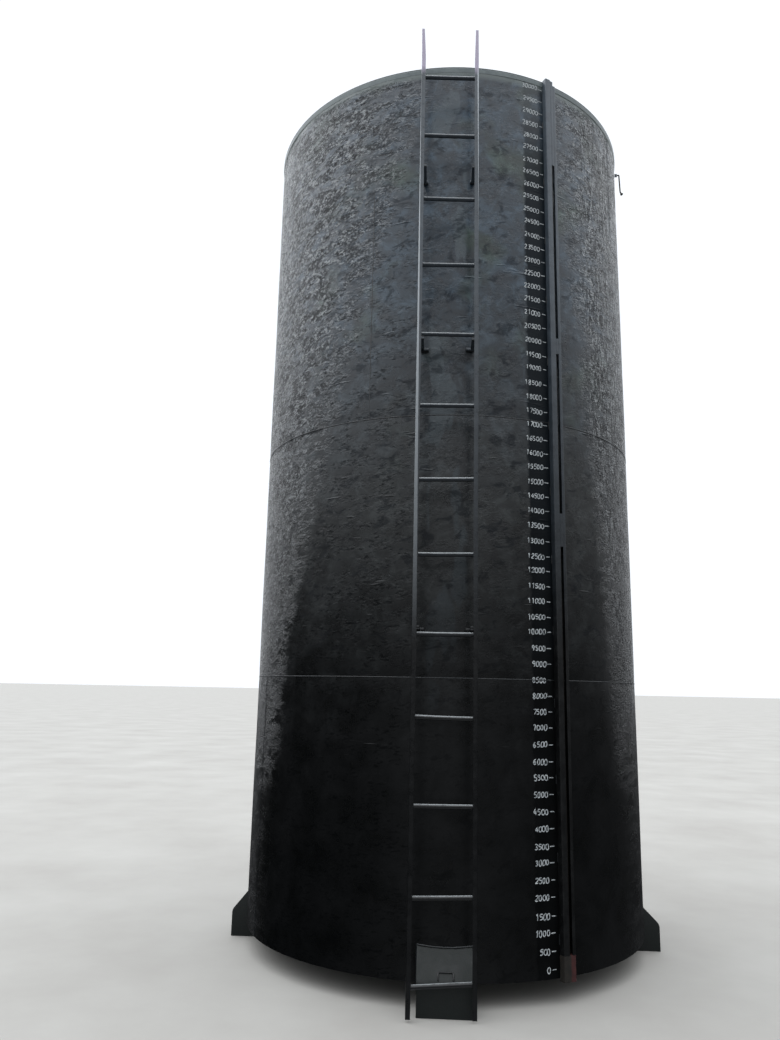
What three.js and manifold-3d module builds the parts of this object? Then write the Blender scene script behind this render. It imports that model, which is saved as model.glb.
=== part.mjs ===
// A welded steel storage tank for 30,000 litres of fuel: a plain upright cylinder on four
// folded plate legs, with a climbing ladder up its front and a slotted level-gauge guard
// beside the ladder. Millimetres, +Z up. The origin is on the tank's axis at ground level,
// the ladder stands on the -Y side, and azimuths are counted from there towards +X.
import * as THREE from "three";
import { mergeVertices } from "three/addons/utils/BufferGeometryUtils.js";
import Module from "manifold-3d";

const wasm = await Module();
wasm.setup();

// Clearance left where one piece is welded or laid against another, and the distance within
// which two vertices of a piece are one.
const GAP = 0.3;
const MERGE_DISTANCE = 0.001;

// Shell
const RADIUS = 1325;
const SHELL_THICKNESS = 6;
const SHELL_BOTTOM = 130;
const COURSE_HEIGHTS = [1585, 1565, 1565, 850];
const SIDES = 96;
const RIM_Z = SHELL_BOTTOM + COURSE_HEIGHTS.reduce((sum, height) => sum + height, 0);

// Hoop round the rim
const RIM_BAND_HEIGHT = 32;
const RIM_BAND_THICKNESS = 3;

// Floor of the tank, set up inside the lowest course
const BOTTOM_PLATE_THICKNESS = 8;
const BOTTOM_PLATE_RISE = 20;

// Roof: a shallow cone with a flat outer edge that lies on the shell
const ROOF_THICKNESS = 5;
const ROOF_OVERHANG = 4;
const ROOF_EDGE_WIDTH = 16;
const ROOF_RISE = 150;

// Manhole in the middle of the roof
const NECK_RADIUS = 300;
const NECK_THICKNESS = 6;
const NECK_STAND = 120;
const NECK_DROP = 30;
const NECK_SIDES = 48;
const FLANGE_RADIUS = 350;
const FLANGE_THICKNESS = 10;
const LID_THICKNESS = 8;
const HANDLE_BAR = 12;
const HANDLE_LENGTH = 160;
const HANDLE_HEIGHT = 55;

// Legs: plate bent outwards into a shoulder, closed by a web on each side. Each has its own
// reach from the tank's axis, and its own height at which its shoulder meets the shell.
const LEG_WIDTH = 296;
const LEG_SHOULDER_Z = 165;
const LEG_BEND = 22;
const LEG_BEND_STEPS = 4;
const LEG_THICKNESS = 8;
const LEG_UNDER_TANK = 100;
const LEG_SHAPES = {
  leg_front: { reach: RADIUS + 118, topZ: 305 },
  leg_right: { reach: RADIUS + 100, topZ: 265 },
  leg_back: { reach: RADIUS + 118, topZ: 285 },
  leg_left: { reach: RADIUS + 100, topZ: 285 },
};

// Small bar staple welded to the shoulder of the front leg
const STAPLE_BAR = 7;
const STAPLE_WIDTH = 80;
const STAPLE_LENGTH = 42;
const STAPLE_START = 14;
const STAPLE_OFFSET_X = 5;

// Ladder: angle rails and round rungs
const LADDER_INNER_WIDTH = 315;
const LADDER_FRONT = RADIUS + 175;
const RAIL_LEG = 25;
const RAIL_THICKNESS = 3;
const RAIL_BOTTOM = 15;
const RAIL_TOP = 5835;
const RAIL_TAPER_START = 5620;
const RAIL_TAPER_WIDTH = 8;
const RUNG_RADIUS = 12.5;
const RUNG_SIDES = 12;
const FIRST_RUNG_Z = 170;
// Spaces between the rungs from the ground up, and how far each rung's right end stands
// above its left one: uneven, as the ladder was set out by eye.
const RUNG_SPACES = [418, 453, 459, 451, 447, 437, 446, 446, 453, 445, 442, 420];
const RUNG_RISES = [20, 8, 2, -5, 2, 6, 8, 5, 2, 3, -1, -1, 0];

// How the ladder hangs: turned a little from the shell's front, and a little out of plumb
const LADDER_SKEW = 3.7;
const LADDER_LEAN = 0.218;
const LADDER_PIVOT_Z = 4900;

// Stand-offs: bars bent to an L, each with a foot that lies on the shell, given by their
// height and their foot's length
const STANDOFFS = { lower: [1985, 22], middle: [3700, 27], upper: [4850, 6] };
const STANDOFF_HEIGHT = 16;
const STANDOFF_INNER_X = 142;
const STANDOFF_OUTER_X = 166;

// Level-gauge guard: two angles on edge with a slot between them
const GUARD_AZIMUTH = 30;
const GUARD_DEPTH = 38;
const GUARD_THICKNESS = 4;
const GUARD_LEFT_EDGE = -39;
const GUARD_LEFT_FACE = 37;
const GUARD_SLOT = 21;
const GUARD_RIGHT_FACE = 22;
const GUARD_FOOT_BOTTOM = 115;
const GUARD_FOOT_TOP = 247;
const GUARD_LEFT_TOP = 5706;
const GUARD_RIGHT_TOP = 5668;
const GUARD_COVERS = {
  gauge_guard_lower_bridge: [2503, 2705],
  gauge_guard_upper_bridge: [3732, 3836],
  gauge_guard_top_cover: [5061, 5698],
};
const TUBE_RADIUS = 7;
const TUBE_TOP = 5600;

// Lug with a bent rod, high up on the right-hand side
const LUG_FACET = 20.5;
const LUG_Z = 5572;
const LUG_LENGTH = 18;
const LUG_THICKNESS = 8;
const LUG_HEIGHT = 24;
const ROD_RADIUS = 5;
const ROD_SIDES = 8;
// The rod's route: how far beyond the lug's tip, and how far below it, each bend lies
const ROD_ROUTE = [
  [GAP, 0],
  [14, 0],
  [19, 148],
  [32, 172],
];

// Round bars have this many steps along their length. Their corners start this many radii
// away from the bend, or at this share of a run that is too short for that.
const BAR_STEPS = 28;
const BEND_RADII = 3;
const BEND_SHARE = 0.45;

const BLACK_PAINT = { color: 0x2b2f32, roughness: 0.45, metalness: 0.0 };
const LADDER_PAINT = { color: 0x3a3f43, roughness: 0.4, metalness: 0.0 };
const GUARD_PAINT = { color: 0x33383b, roughness: 0.45, metalness: 0.0 };
const RED_PRIMER = { color: 0x4a2526, roughness: 0.8, metalness: 0.0 };
const DULL_PLASTIC = { color: 0x191b1a, roughness: 0.3, metalness: 0.0 };
const BARE_STEEL = { color: 0x3c3835, roughness: 0.6, metalness: 0.8 };

const radians = THREE.MathUtils.degToRad;

// A closed geometry as a solid that can be cut and joined.
function toSolid(geometry) {
  const bare = geometry.index ? geometry.toNonIndexed() : geometry.clone();
  bare.deleteAttribute("normal");
  bare.deleteAttribute("uv");
  const merged = mergeVertices(bare, MERGE_DISTANCE);
  return new wasm.Manifold(
    new wasm.Mesh({
      numProp: 3,
      vertProperties: new Float32Array(merged.attributes.position.array),
      triVerts: new Uint32Array(merged.index.array),
    }),
  );
}

function toGeometry(solid) {
  const { vertProperties, triVerts } = solid.getMesh();
  const geometry = new THREE.BufferGeometry();
  geometry.setAttribute("position", new THREE.BufferAttribute(new Float32Array(vertProperties), 3));
  geometry.setIndex(new THREE.BufferAttribute(new Uint32Array(triVerts), 1));
  geometry.computeVertexNormals();
  return geometry;
}

function named(name, geometry, look) {
  const mesh = new THREE.Mesh(geometry, new THREE.MeshStandardMaterial(look));
  mesh.name = name;
  return mesh;
}

// Revolves an outline of [radius, z] pairs, listed with the metal on its left, about Z.
function revolved(outline, sides) {
  const points = outline.map(([radius, z]) => new THREE.Vector2(radius, z));
  return new THREE.LatheGeometry(points, sides).rotateX(Math.PI / 2);
}

function ring(innerRadius, outerRadius, bottom, top, sides) {
  const outline = [
    [innerRadius, bottom],
    [outerRadius, bottom],
    [outerRadius, top],
    [innerRadius, top],
    [innerRadius, bottom],
  ];
  return revolved(outline, sides);
}

function disc(radius, bottom, top, sides) {
  const outline = [
    [0, bottom],
    [radius, bottom],
    [radius, top],
    [0, top],
  ];
  return revolved(outline, sides);
}

// Extrudes an outline of [x, y] pairs from one height to another.
function upright(outline, bottom, top) {
  const shape = new THREE.Shape(outline.map(([x, y]) => new THREE.Vector2(x, y)));
  const options = { depth: top - bottom, bevelEnabled: false };
  return new THREE.ExtrudeGeometry(shape, options).translate(0, 0, bottom);
}

// Extrudes a side view of [distance from the tank's axis, z] pairs across the front.
function sideProfile(outline, width) {
  const shape = new THREE.Shape(outline.map(([radius, z]) => new THREE.Vector2(radius, z)));
  const turn = new THREE.Matrix4().makeBasis(
    new THREE.Vector3(0, -1, 0),
    new THREE.Vector3(0, 0, 1),
    new THREE.Vector3(-1, 0, 0),
  );
  return new THREE.ExtrudeGeometry(shape, { depth: width, bevelEnabled: false })
    .applyMatrix4(turn)
    .translate(width / 2, 0, 0);
}

function block(xRange, yRange, zRange) {
  const size = [xRange, yRange, zRange].map(([low, high]) => high - low);
  const middle = [xRange, yRange, zRange].map(([low, high]) => (low + high) / 2);
  return new THREE.BoxGeometry(...size).translate(...middle);
}

// A round bar along straight runs between points, with its corners rounded.
function bentBar(points, radius) {
  const path = new THREE.CurvePath();
  let from = points[0];
  const towards = (bend, next) => {
    const share = Math.min((radius * BEND_RADII) / bend.distanceTo(next), BEND_SHARE);
    return bend.clone().lerp(next, share);
  };
  for (let i = 1; i < points.length - 1; i += 1) {
    const before = towards(points[i], points[i - 1]);
    const after = towards(points[i], points[i + 1]);
    path.add(new THREE.LineCurve3(from, before));
    path.add(new THREE.QuadraticBezierCurve3(before, points[i], after));
    from = after;
  }
  path.add(new THREE.LineCurve3(from, points[points.length - 1]));
  const section = new THREE.Shape();
  for (let i = 0; i < ROD_SIDES; i += 1) {
    const angle = (i * 2 * Math.PI) / ROD_SIDES;
    const place = [radius * Math.cos(angle), radius * Math.sin(angle)];
    if (i === 0) section.moveTo(...place);
    else section.lineTo(...place);
  }
  return new THREE.ExtrudeGeometry(section, { extrudePath: path, steps: BAR_STEPS, bevelEnabled: false });
}

// The shell's faceted outer face near azimuth zero: its y at a given x.
function shellFaceY(x) {
  const step = (2 * Math.PI) / SIDES;
  const facet = Math.floor(Math.abs(x) / (RADIUS * Math.sin(step)));
  const nearEnd = [RADIUS * Math.sin(facet * step), RADIUS * Math.cos(facet * step)];
  const farEnd = [RADIUS * Math.sin((facet + 1) * step), RADIUS * Math.cos((facet + 1) * step)];
  const share = (Math.abs(x) - nearEnd[0]) / (farEnd[0] - nearEnd[0]);
  return -(nearEnd[1] + share * (farEnd[1] - nearEnd[1]));
}

// Turns pieces made at the front round the tank to their own azimuth.
function turned(azimuth, ...pieces) {
  const group = new THREE.Group();
  group.rotation.z = radians(azimuth);
  group.add(...pieces);
  return group;
}

function shell() {
  const group = new THREE.Group();
  let bottom = SHELL_BOTTOM;
  COURSE_HEIGHTS.forEach((height, i) => {
    const course = ring(RADIUS - SHELL_THICKNESS, RADIUS, bottom, bottom + height, SIDES);
    group.add(named(`shell_course_${i + 1}`, course, BLACK_PAINT));
    bottom += height;
  });
  const bandInner = RADIUS + GAP;
  const band = ring(bandInner, bandInner + RIM_BAND_THICKNESS, RIM_Z - RIM_BAND_HEIGHT, RIM_Z, SIDES);
  group.add(named("rim_band", band, BLACK_PAINT));
  return group;
}

function bottomPlate() {
  const bottom = SHELL_BOTTOM + BOTTOM_PLATE_RISE;
  const inside = RADIUS - SHELL_THICKNESS - GAP;
  return named("bottom_plate", disc(inside, bottom, bottom + BOTTOM_PLATE_THICKNESS, SIDES), BLACK_PAINT);
}

function roof() {
  const edge = RADIUS + ROOF_OVERHANG;
  const fold = edge - ROOF_OVERHANG - ROOF_EDGE_WIDTH;
  const hole = NECK_RADIUS + GAP;
  const coneTop = RIM_Z + ROOF_RISE;
  const outline = [
    [hole, coneTop],
    [fold, RIM_Z],
    [edge, RIM_Z],
    [edge, RIM_Z + ROOF_THICKNESS],
    [fold, RIM_Z + ROOF_THICKNESS],
    [hole, coneTop + ROOF_THICKNESS],
    [hole, coneTop],
  ];
  return named("roof_cone", revolved(outline, SIDES), BLACK_PAINT);
}

function manhole() {
  const coneTop = RIM_Z + ROOF_RISE;
  const neckTop = coneTop + NECK_STAND;
  const inner = NECK_RADIUS - NECK_THICKNESS;
  const neckBottom = coneTop - NECK_DROP;
  const flangeBottom = neckTop - FLANGE_THICKNESS;
  const neckOutline = [
    [inner, neckBottom],
    [NECK_RADIUS, neckBottom],
    [NECK_RADIUS, flangeBottom],
    [FLANGE_RADIUS, flangeBottom],
    [FLANGE_RADIUS, neckTop],
    [inner, neckTop],
    [inner, neckBottom],
  ];
  const lidBottom = neckTop + GAP;
  const lidTop = lidBottom + LID_THICKNESS;
  const foot = lidTop + GAP;
  const handle = bentBar(
    [
      new THREE.Vector3(-HANDLE_LENGTH / 2, 0, foot),
      new THREE.Vector3(-HANDLE_LENGTH / 2, 0, foot + HANDLE_HEIGHT),
      new THREE.Vector3(HANDLE_LENGTH / 2, 0, foot + HANDLE_HEIGHT),
      new THREE.Vector3(HANDLE_LENGTH / 2, 0, foot),
    ],
    HANDLE_BAR / 2,
  );
  const group = new THREE.Group();
  group.add(named("manhole_neck", revolved(neckOutline, NECK_SIDES), BLACK_PAINT));
  group.add(named("manhole_lid", disc(FLANGE_RADIUS, lidBottom, lidTop, NECK_SIDES), BLACK_PAINT));
  group.add(named("manhole_lid_handle", handle, BLACK_PAINT));
  return group;
}

// The slope of a leg's shoulder as unit vectors in side view: up along it and out of it.
function shoulder({ reach, topZ }) {
  const run = reach - RADIUS;
  const rise = topZ - LEG_SHOULDER_Z;
  const length = Math.hypot(run, rise);
  return { run, rise, length, up: [-run / length, rise / length], out: [rise / length, run / length] };
}

// A corner of an outline, given with its two neighbours, replaced by a curve.
function bent(before, corner, after, reach) {
  const [from, middle, to] = [before, corner, after].map(([x, y]) => new THREE.Vector2(x, y));
  const start = middle.clone().lerp(from, reach / middle.distanceTo(from));
  const end = middle.clone().lerp(to, reach / middle.distanceTo(to));
  const curve = new THREE.QuadraticBezierCurve(start, middle, end);
  return curve.getPoints(LEG_BEND_STEPS).map((point) => [point.x, point.y]);
}

// The side view of a leg, made smaller all round by a plate's thickness for its hollow.
function legOutline(shape, inset) {
  const { run, rise, length } = shoulder(shape);
  const pitch = rise / run;
  const drop = (inset * length) / run;
  const inner = RADIUS - LEG_UNDER_TANK - inset;
  const outer = shape.reach - inset;
  const slopeZ = (radius) => LEG_SHOULDER_Z + pitch * (shape.reach - radius) - drop;
  const foot = [outer, -inset];
  const top = [inner, slopeZ(inner)];
  return [[inner, -inset], foot, ...bent(foot, [outer, slopeZ(outer)], top, LEG_BEND), top];
}

function legGeometry(shape) {
  const outer = sideProfile(legOutline(shape, 0), LEG_WIDTH);
  const hollow = sideProfile(legOutline(shape, LEG_THICKNESS), LEG_WIDTH - 2 * LEG_THICKNESS);
  const tank = disc(RADIUS + GAP, SHELL_BOTTOM - GAP, shape.topZ + LEG_WIDTH, SIDES);
  return toGeometry(toSolid(outer).subtract(toSolid(hollow)).subtract(toSolid(tank)));
}

function legs() {
  const group = new THREE.Group();
  Object.entries(LEG_SHAPES).forEach(([name, shape], i) => {
    group.add(turned(i * 90, named(name, legGeometry(shape), BLACK_PAINT)));
  });
  return group;
}

// A point on the front leg's shoulder, given x, the way up the slope and the height off it.
function onShoulder(x, along, off) {
  const { up, out } = shoulder(LEG_SHAPES.leg_front);
  const radius = LEG_SHAPES.leg_front.reach + up[0] * along + out[0] * off;
  const z = LEG_SHOULDER_Z + up[1] * along + out[1] * off;
  return new THREE.Vector3(x, -radius, z);
}

function staple() {
  const left = STAPLE_OFFSET_X - STAPLE_WIDTH / 2;
  const right = STAPLE_OFFSET_X + STAPLE_WIDTH / 2;
  const off = STAPLE_BAR / 2 + GAP;
  const far = STAPLE_START + STAPLE_LENGTH;
  const points = [
    onShoulder(left, STAPLE_START, off),
    onShoulder(left, far, off),
    onShoulder(right, far, off),
    onShoulder(right, STAPLE_START, off),
  ];
  return named("front_leg_staple", bentBar(points, STAPLE_BAR / 2), BLACK_PAINT);
}

// One rail: an angle with its corner on the outer side, cut to a slant at its inner top.
function rail(name, side) {
  const inner = (side * LADDER_INNER_WIDTH) / 2;
  const outer = inner + side * RAIL_LEG;
  const web = outer - side * RAIL_THICKNESS;
  const back = -LADDER_FRONT + RAIL_LEG;
  const flange = -LADDER_FRONT + RAIL_THICKNESS;
  const outline = [
    [inner, -LADDER_FRONT],
    [outer, -LADDER_FRONT],
    [outer, back],
    [web, back],
    [web, flange],
    [inner, flange],
  ];
  const bar = upright(outline, RAIL_BOTTOM, RAIL_TOP);
  const cutEnd = inner + side * RAIL_TAPER_WIDTH;
  const beyond = inner - side * RAIL_LEG;
  const slant = new THREE.Shape([
    new THREE.Vector2(inner, RAIL_TAPER_START),
    new THREE.Vector2(cutEnd, RAIL_TOP),
    new THREE.Vector2(cutEnd, RAIL_TOP + RAIL_LEG),
    new THREE.Vector2(beyond, RAIL_TOP + RAIL_LEG),
    new THREE.Vector2(beyond, RAIL_TAPER_START),
  ]);
  const offcut = new THREE.ExtrudeGeometry(slant, { depth: 3 * RAIL_LEG, bevelEnabled: false })
    .rotateX(Math.PI / 2)
    .translate(0, back + RAIL_LEG, 0);
  return named(name, toGeometry(toSolid(bar).subtract(toSolid(offcut))), LADDER_PAINT);
}

// The rungs lie behind the rails' flanges and reach from one web to the other.
function rungs() {
  const group = new THREE.Group();
  const reach = LADDER_INNER_WIDTH + 2 * (RAIL_LEG - RAIL_THICKNESS - GAP);
  const middleY = -LADDER_FRONT + RAIL_THICKNESS + GAP + RUNG_RADIUS;
  let z = FIRST_RUNG_Z;
  RUNG_RISES.forEach((rise, i) => {
    const tilt = Math.atan(rise / LADDER_INNER_WIDTH);
    const length = reach - 2 * RUNG_RADIUS * Math.abs(Math.sin(tilt));
    const bar = new THREE.CylinderGeometry(RUNG_RADIUS, RUNG_RADIUS, length, RUNG_SIDES)
      .rotateZ(Math.PI / 2)
      .rotateY(-tilt);
    const rung = named(`ladder_rung_${String(i + 1).padStart(2, "0")}`, bar, LADDER_PAINT);
    rung.position.set(0, middleY, z);
    group.add(rung);
    z += RUNG_SPACES[i];
  });
  return group;
}

// The turn and lean with which the ladder hangs, about a point high up between its rails.
function hang() {
  const pivot = new THREE.Group();
  pivot.position.set(0, -LADDER_FRONT + RAIL_LEG / 2, LADDER_PIVOT_Z);
  pivot.rotation.set(0, radians(LADDER_LEAN), radians(LADDER_SKEW), "ZYX");
  pivot.updateMatrix();
  return pivot;
}

// One stand-off, from the back of a rail's flange to the shell, with its foot turned inwards.
function standoff(name, side, z, footLength) {
  const pivot = hang();
  const flangeBack = -LADDER_FRONT + RAIL_THICKNESS + GAP;
  const atFlange = (x) => {
    const place = new THREE.Vector3(side * x, flangeBack, z);
    return place.sub(pivot.position).applyMatrix4(pivot.matrix);
  };
  const outer = atFlange(STANDOFF_OUTER_X);
  const inner = atFlange(STANDOFF_INNER_X);
  const footX = inner.x - side * footLength;
  const shellY = (x, off) => shellFaceY(x) - GAP - off;
  const outline = [
    [outer.x, outer.y],
    [outer.x, shellY(outer.x, 0)],
    [footX, shellY(footX, 0)],
    [footX, shellY(footX, STANDOFF_HEIGHT)],
    [inner.x, shellY(inner.x, STANDOFF_HEIGHT)],
    [inner.x, inner.y],
  ];
  return named(name, upright(outline, z - STANDOFF_HEIGHT / 2, z + STANDOFF_HEIGHT / 2), LADDER_PAINT);
}

function ladder() {
  const pivot = hang();
  const ladderPieces = new THREE.Group();
  ladderPieces.position.copy(pivot.position).negate();
  ladderPieces.add(rail("ladder_rail_left", -1), rail("ladder_rail_right", 1), rungs());
  pivot.add(ladderPieces);
  const group = new THREE.Group();
  group.add(pivot);
  for (const [place, [z, footLength]] of Object.entries(STANDOFFS)) {
    group.add(standoff(`ladder_standoff_${place}_left`, -1, z, footLength));
    group.add(standoff(`ladder_standoff_${place}_right`, 1, z, footLength));
  }
  return group;
}

function gaugeGuard() {
  const frontY = -(RADIUS + GUARD_DEPTH);
  const insideY = frontY + GUARD_THICKNESS;
  const left = GUARD_LEFT_EDGE;
  const slotLeft = left + GUARD_LEFT_FACE;
  const slotRight = slotLeft + GUARD_SLOT;
  const right = slotRight + GUARD_RIGHT_FACE;
  const backY = (x) => shellFaceY(x) - GAP;
  const leftWeb = left + GUARD_THICKNESS;
  const rightWeb = right - GUARD_THICKNESS;
  const leftAngle = [
    [left, frontY],
    [slotLeft, frontY],
    [slotLeft, insideY],
    [leftWeb, insideY],
    [leftWeb, backY(leftWeb)],
    [left, backY(left)],
  ];
  const rightAngle = [
    [slotRight, frontY],
    [right, frontY],
    [right, backY(right)],
    [rightWeb, backY(rightWeb)],
    [rightWeb, insideY],
    [slotRight, insideY],
  ];
  const angleBottom = GUARD_FOOT_TOP + GAP;
  const notched = (outline, top) => {
    const angle = toSolid(upright(outline, angleBottom, top));
    return toGeometry(angle.subtract(rimNotch()));
  };
  const pieces = [
    named("gauge_guard_left_angle", notched(leftAngle, GUARD_LEFT_TOP), GUARD_PAINT),
    named("gauge_guard_right_angle", notched(rightAngle, GUARD_RIGHT_TOP), GUARD_PAINT),
  ];
  for (const [name, [bottom, top]] of Object.entries(GUARD_COVERS)) {
    const cover = block([slotLeft + GAP, slotRight - GAP], [frontY, insideY], [bottom, top]);
    pieces.push(named(name, cover, GUARD_PAINT));
  }
  pieces.push(gaugeFoot(left, right, frontY, insideY, backY));
  const tubeBar = new THREE.CylinderGeometry(TUBE_RADIUS, TUBE_RADIUS, TUBE_TOP - angleBottom, RUNG_SIDES);
  const tube = named("sight_tube", tubeBar, DULL_PLASTIC);
  tube.rotation.x = Math.PI / 2;
  tube.position.set((slotLeft + slotRight) / 2, (frontY - RADIUS) / 2, (TUBE_TOP + angleBottom) / 2);
  pieces.push(tube);
  return turned(GUARD_AZIMUTH, ...pieces);
}

// The room that the rim's hoop and the roof's edge take out of what crosses them.
function rimNotch() {
  const reach = RADIUS + ROOF_OVERHANG + GAP;
  return toSolid(disc(reach, RIM_Z - RIM_BAND_HEIGHT - GAP, RIM_Z + ROOF_RISE, SIDES));
}

// The guard's foot: a short channel closed by a plate on which the angles and tube stand.
function gaugeFoot(left, right, frontY, insideY, backY) {
  const innerLeft = left + GUARD_THICKNESS;
  const innerRight = right - GUARD_THICKNESS;
  const channel = [
    [left, frontY],
    [right, frontY],
    [right, backY(right)],
    [innerRight, backY(innerRight)],
    [innerRight, insideY],
    [innerLeft, insideY],
    [innerLeft, backY(innerLeft)],
    [left, backY(left)],
  ];
  const plate = [
    [left, frontY],
    [right, frontY],
    [right, backY(right)],
    [0, backY(0)],
    [left, backY(left)],
  ];
  const sides = toSolid(upright(channel, GUARD_FOOT_BOTTOM, GUARD_FOOT_TOP));
  const top = toSolid(upright(plate, GUARD_FOOT_TOP - GUARD_THICKNESS, GUARD_FOOT_TOP));
  return named("gauge_guard_foot", toGeometry(sides.add(top)), RED_PRIMER);
}

function sideLug() {
  const half = LUG_THICKNESS / 2;
  const rootY = -(RADIUS * Math.cos(Math.PI / SIDES) + GAP);
  const tipY = rootY - LUG_LENGTH;
  const lug = block([-half, half], [tipY, rootY], [LUG_Z - LUG_HEIGHT / 2, LUG_Z + LUG_HEIGHT / 2]);
  const rodPoints = ROD_ROUTE.map(([out, down]) => new THREE.Vector3(0, tipY - out, LUG_Z - down));
  return turned(
    (LUG_FACET * 360) / SIDES,
    named("side_lug", lug, BLACK_PAINT),
    named("side_rod", bentBar(rodPoints, ROD_RADIUS), BARE_STEEL),
  );
}

const tank = new THREE.Group();
tank.name = "storage_tank";
tank.add(bottomPlate(), shell(), roof(), manhole(), legs(), staple(), ladder(), gaugeGuard(), sideLug());

export default tank;
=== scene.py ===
import math
import random
from functools import partial

import bmesh
import bpy
from mathutils import Matrix, Vector, noise


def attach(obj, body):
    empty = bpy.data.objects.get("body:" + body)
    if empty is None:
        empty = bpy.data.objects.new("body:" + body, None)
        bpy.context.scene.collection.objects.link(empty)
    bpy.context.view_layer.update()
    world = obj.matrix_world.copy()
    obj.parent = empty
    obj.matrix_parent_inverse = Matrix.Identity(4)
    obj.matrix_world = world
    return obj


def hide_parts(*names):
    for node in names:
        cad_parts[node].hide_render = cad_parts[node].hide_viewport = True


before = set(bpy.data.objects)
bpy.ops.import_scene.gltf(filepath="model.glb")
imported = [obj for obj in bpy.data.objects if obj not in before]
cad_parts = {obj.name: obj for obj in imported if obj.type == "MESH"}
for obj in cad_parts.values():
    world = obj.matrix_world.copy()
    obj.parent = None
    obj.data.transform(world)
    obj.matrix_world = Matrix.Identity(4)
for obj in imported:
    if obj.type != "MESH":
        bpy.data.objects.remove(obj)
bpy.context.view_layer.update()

# A black-painted welded storage tank, seen from close by and from below. Metres, +Z up,
# the origin on the tank's axis at ground level, azimuths counted from the ladder (-Y) to +X.

# Tank, with the sizes that its solids have.
RADIUS = 1.325
PLATE = 0.006
SHELL_BOTTOM = 0.130
SEAMS = (1.715, 3.280, 4.845)
SEAM_BEADS = (0.0040, 0.0044, 0.0022)
RIPPLE_DEPTH = 0.22
# How far the line of a bead lies off the corner that it fills, and inside the plate's face
BEAD_OFFSET = 0.001
SEAM_SINK = 0.0016
UPRIGHT_SINK = 0.0022
# How far a bead's ends stop short of the next seam or edge
BEAD_MARGIN = 0.004
# Azimuths of each course's upright seams, staggered from one course to the next
UPRIGHT_SEAMS = ((150.0, -62.0), (100.0, -118.0), (-21.5, 168.0), (62.0, -146.0))
RIM_Z = 5.695
# The plate's own shape: half the depth of its dishes, and how far each seam pulls it in, over
# what height
DISH = 0.0018
SEAM_PULL = 0.0012
SEAM_PULL_REACH = 0.035
# How finely the shell is divided, and how many points lie along a bead round it
SHELL_COLUMNS = 384
SHELL_ROW = 0.028
RING_STEPS = 720
# The hoop under the rim: its height and its upright lip, and how far out its foot and lip stand
HOOP_HEIGHT = 0.032
HOOP_LIP = 0.006
HOOP_FOOT = RADIUS + 0.0005
HOOP_FACE = RADIUS + 0.0033
GAP = 0.0003
FLOOR_PLATE = (0.150, 0.158)
FLOOR_COLUMNS = 192
# How near the axis a closed disc's outline runs
AXIS_HOLE = 0.0005

# Roof and manhole
ROOF_EDGE = RADIUS + 0.004
ROOF_FOLD = RADIUS - 0.016
ROOF_PLATE = 0.005
ROOF_RISE = 0.150
ROOF_SEAMS = (45.0, 135.0, 225.0, 315.0)
ROOF_SEAM_SINK = 0.0015
ROOF_COLUMNS = 288
MANHOLE_COLUMNS = 128
NECK_RADIUS = 0.300
NECK_PLATE = 0.006
NECK_DEPTH = 0.030
NECK_TOP = RIM_Z + 0.270
FLANGE_RADIUS = 0.350
FLANGE_PLATE = 0.010
LID_PLATE = 0.008
LID_BOLTS = 16
BOLT_ACROSS = 0.024
# Washer, head and shank end: sides, share of the head's radius, thickness, middle height
BOLT_DISCS = ((20, 1.2, 0.0025, 0.00125), (6, 1.0, 0.012, 0.0085), (12, 0.58, 0.008, 0.0185))
HANDLE_REACH = 0.080
HANDLE_RISE = 0.055
HANDLE_CORNER = 0.018
HANDLE_RADIUS = 0.006

# Ladder: rails, rungs with how far each one's right end stands above its left, and the
# turn and lean with which the whole ladder hangs
LADDER_FRONT = -1.500
RAIL_INNER = 0.1575
RAIL_LEG = 0.025
RAIL_PLATE = 0.003
RAIL_BOTTOM = 0.015
RAIL_TOP = 5.835
RAIL_TAPER_START = 5.620
RAIL_TAPER = 0.008
RAIL_KNOCK = 0.002
RUNG_RADIUS = 0.0125
FIRST_RUNG_Z = 0.170
RUNG_SPACES = (0.418, 0.453, 0.459, 0.451, 0.447, 0.437, 0.446, 0.446, 0.453, 0.445, 0.442, 0.420)
RUNG_RISES = (0.020, 0.008, 0.002, -0.005, 0.002, 0.006, 0.008, 0.005, 0.002, 0.003, -0.001, -0.001, 0.0)
LADDER_SKEW = 3.7
LADDER_LEAN = 0.218
LADDER_PIVOT = (0.0, LADDER_FRONT + RAIL_LEG / 2, 4.900)
LADDER_SHIFT = LADDER_PIVOT[2] * math.tan(math.radians(LADDER_LEAN))
STANDOFFS = {"lower": (1.985, 0.022), "middle": (3.700, 0.027), "upper": (4.850, 0.006)}
STANDOFF_HEIGHT = 0.016
STANDOFF_INNER_X = 0.142
STANDOFF_OUTER_X = 0.166
STANDOFF_EDGE = 0.0015

# Gauge guard
GUARD_AZIMUTH = 30.0
GUARD_DEPTH = 0.038
GUARD_PLATE = 0.004
GUARD_EDGES = (-0.039, -0.002, 0.019, 0.041)
GUARD_FOOT = (0.115, 0.247)
GUARD_TOPS = (5.706, 5.668)
GUARD_FOLD = 0.005
GUARD_EVEN_TOP = 5.66
# The webs keep clear of the roof's edge from this height on, by this much
NOTCH_Z = RIM_Z - 0.034
NOTCH_GAP = 0.0004
# Stitch welds up the guard: first and last height, step from one to the next, length of each
GUARD_STITCHES = (0.30, 5.55, 0.42, 0.05)
GUARD_COVERS = {
    "gauge_guard_lower_bridge": (2.503, 2.705),
    "gauge_guard_upper_bridge": (3.732, 3.836),
    "gauge_guard_top_cover": (5.061, 5.698),
}

# Legs
LEG_HALF_WIDTH = 0.148
LEG_SHOULDER_Z = 0.165
LEG_BEND = 0.022
LEG_PLATE = 0.008
LEG_EDGE = 0.003
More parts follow.
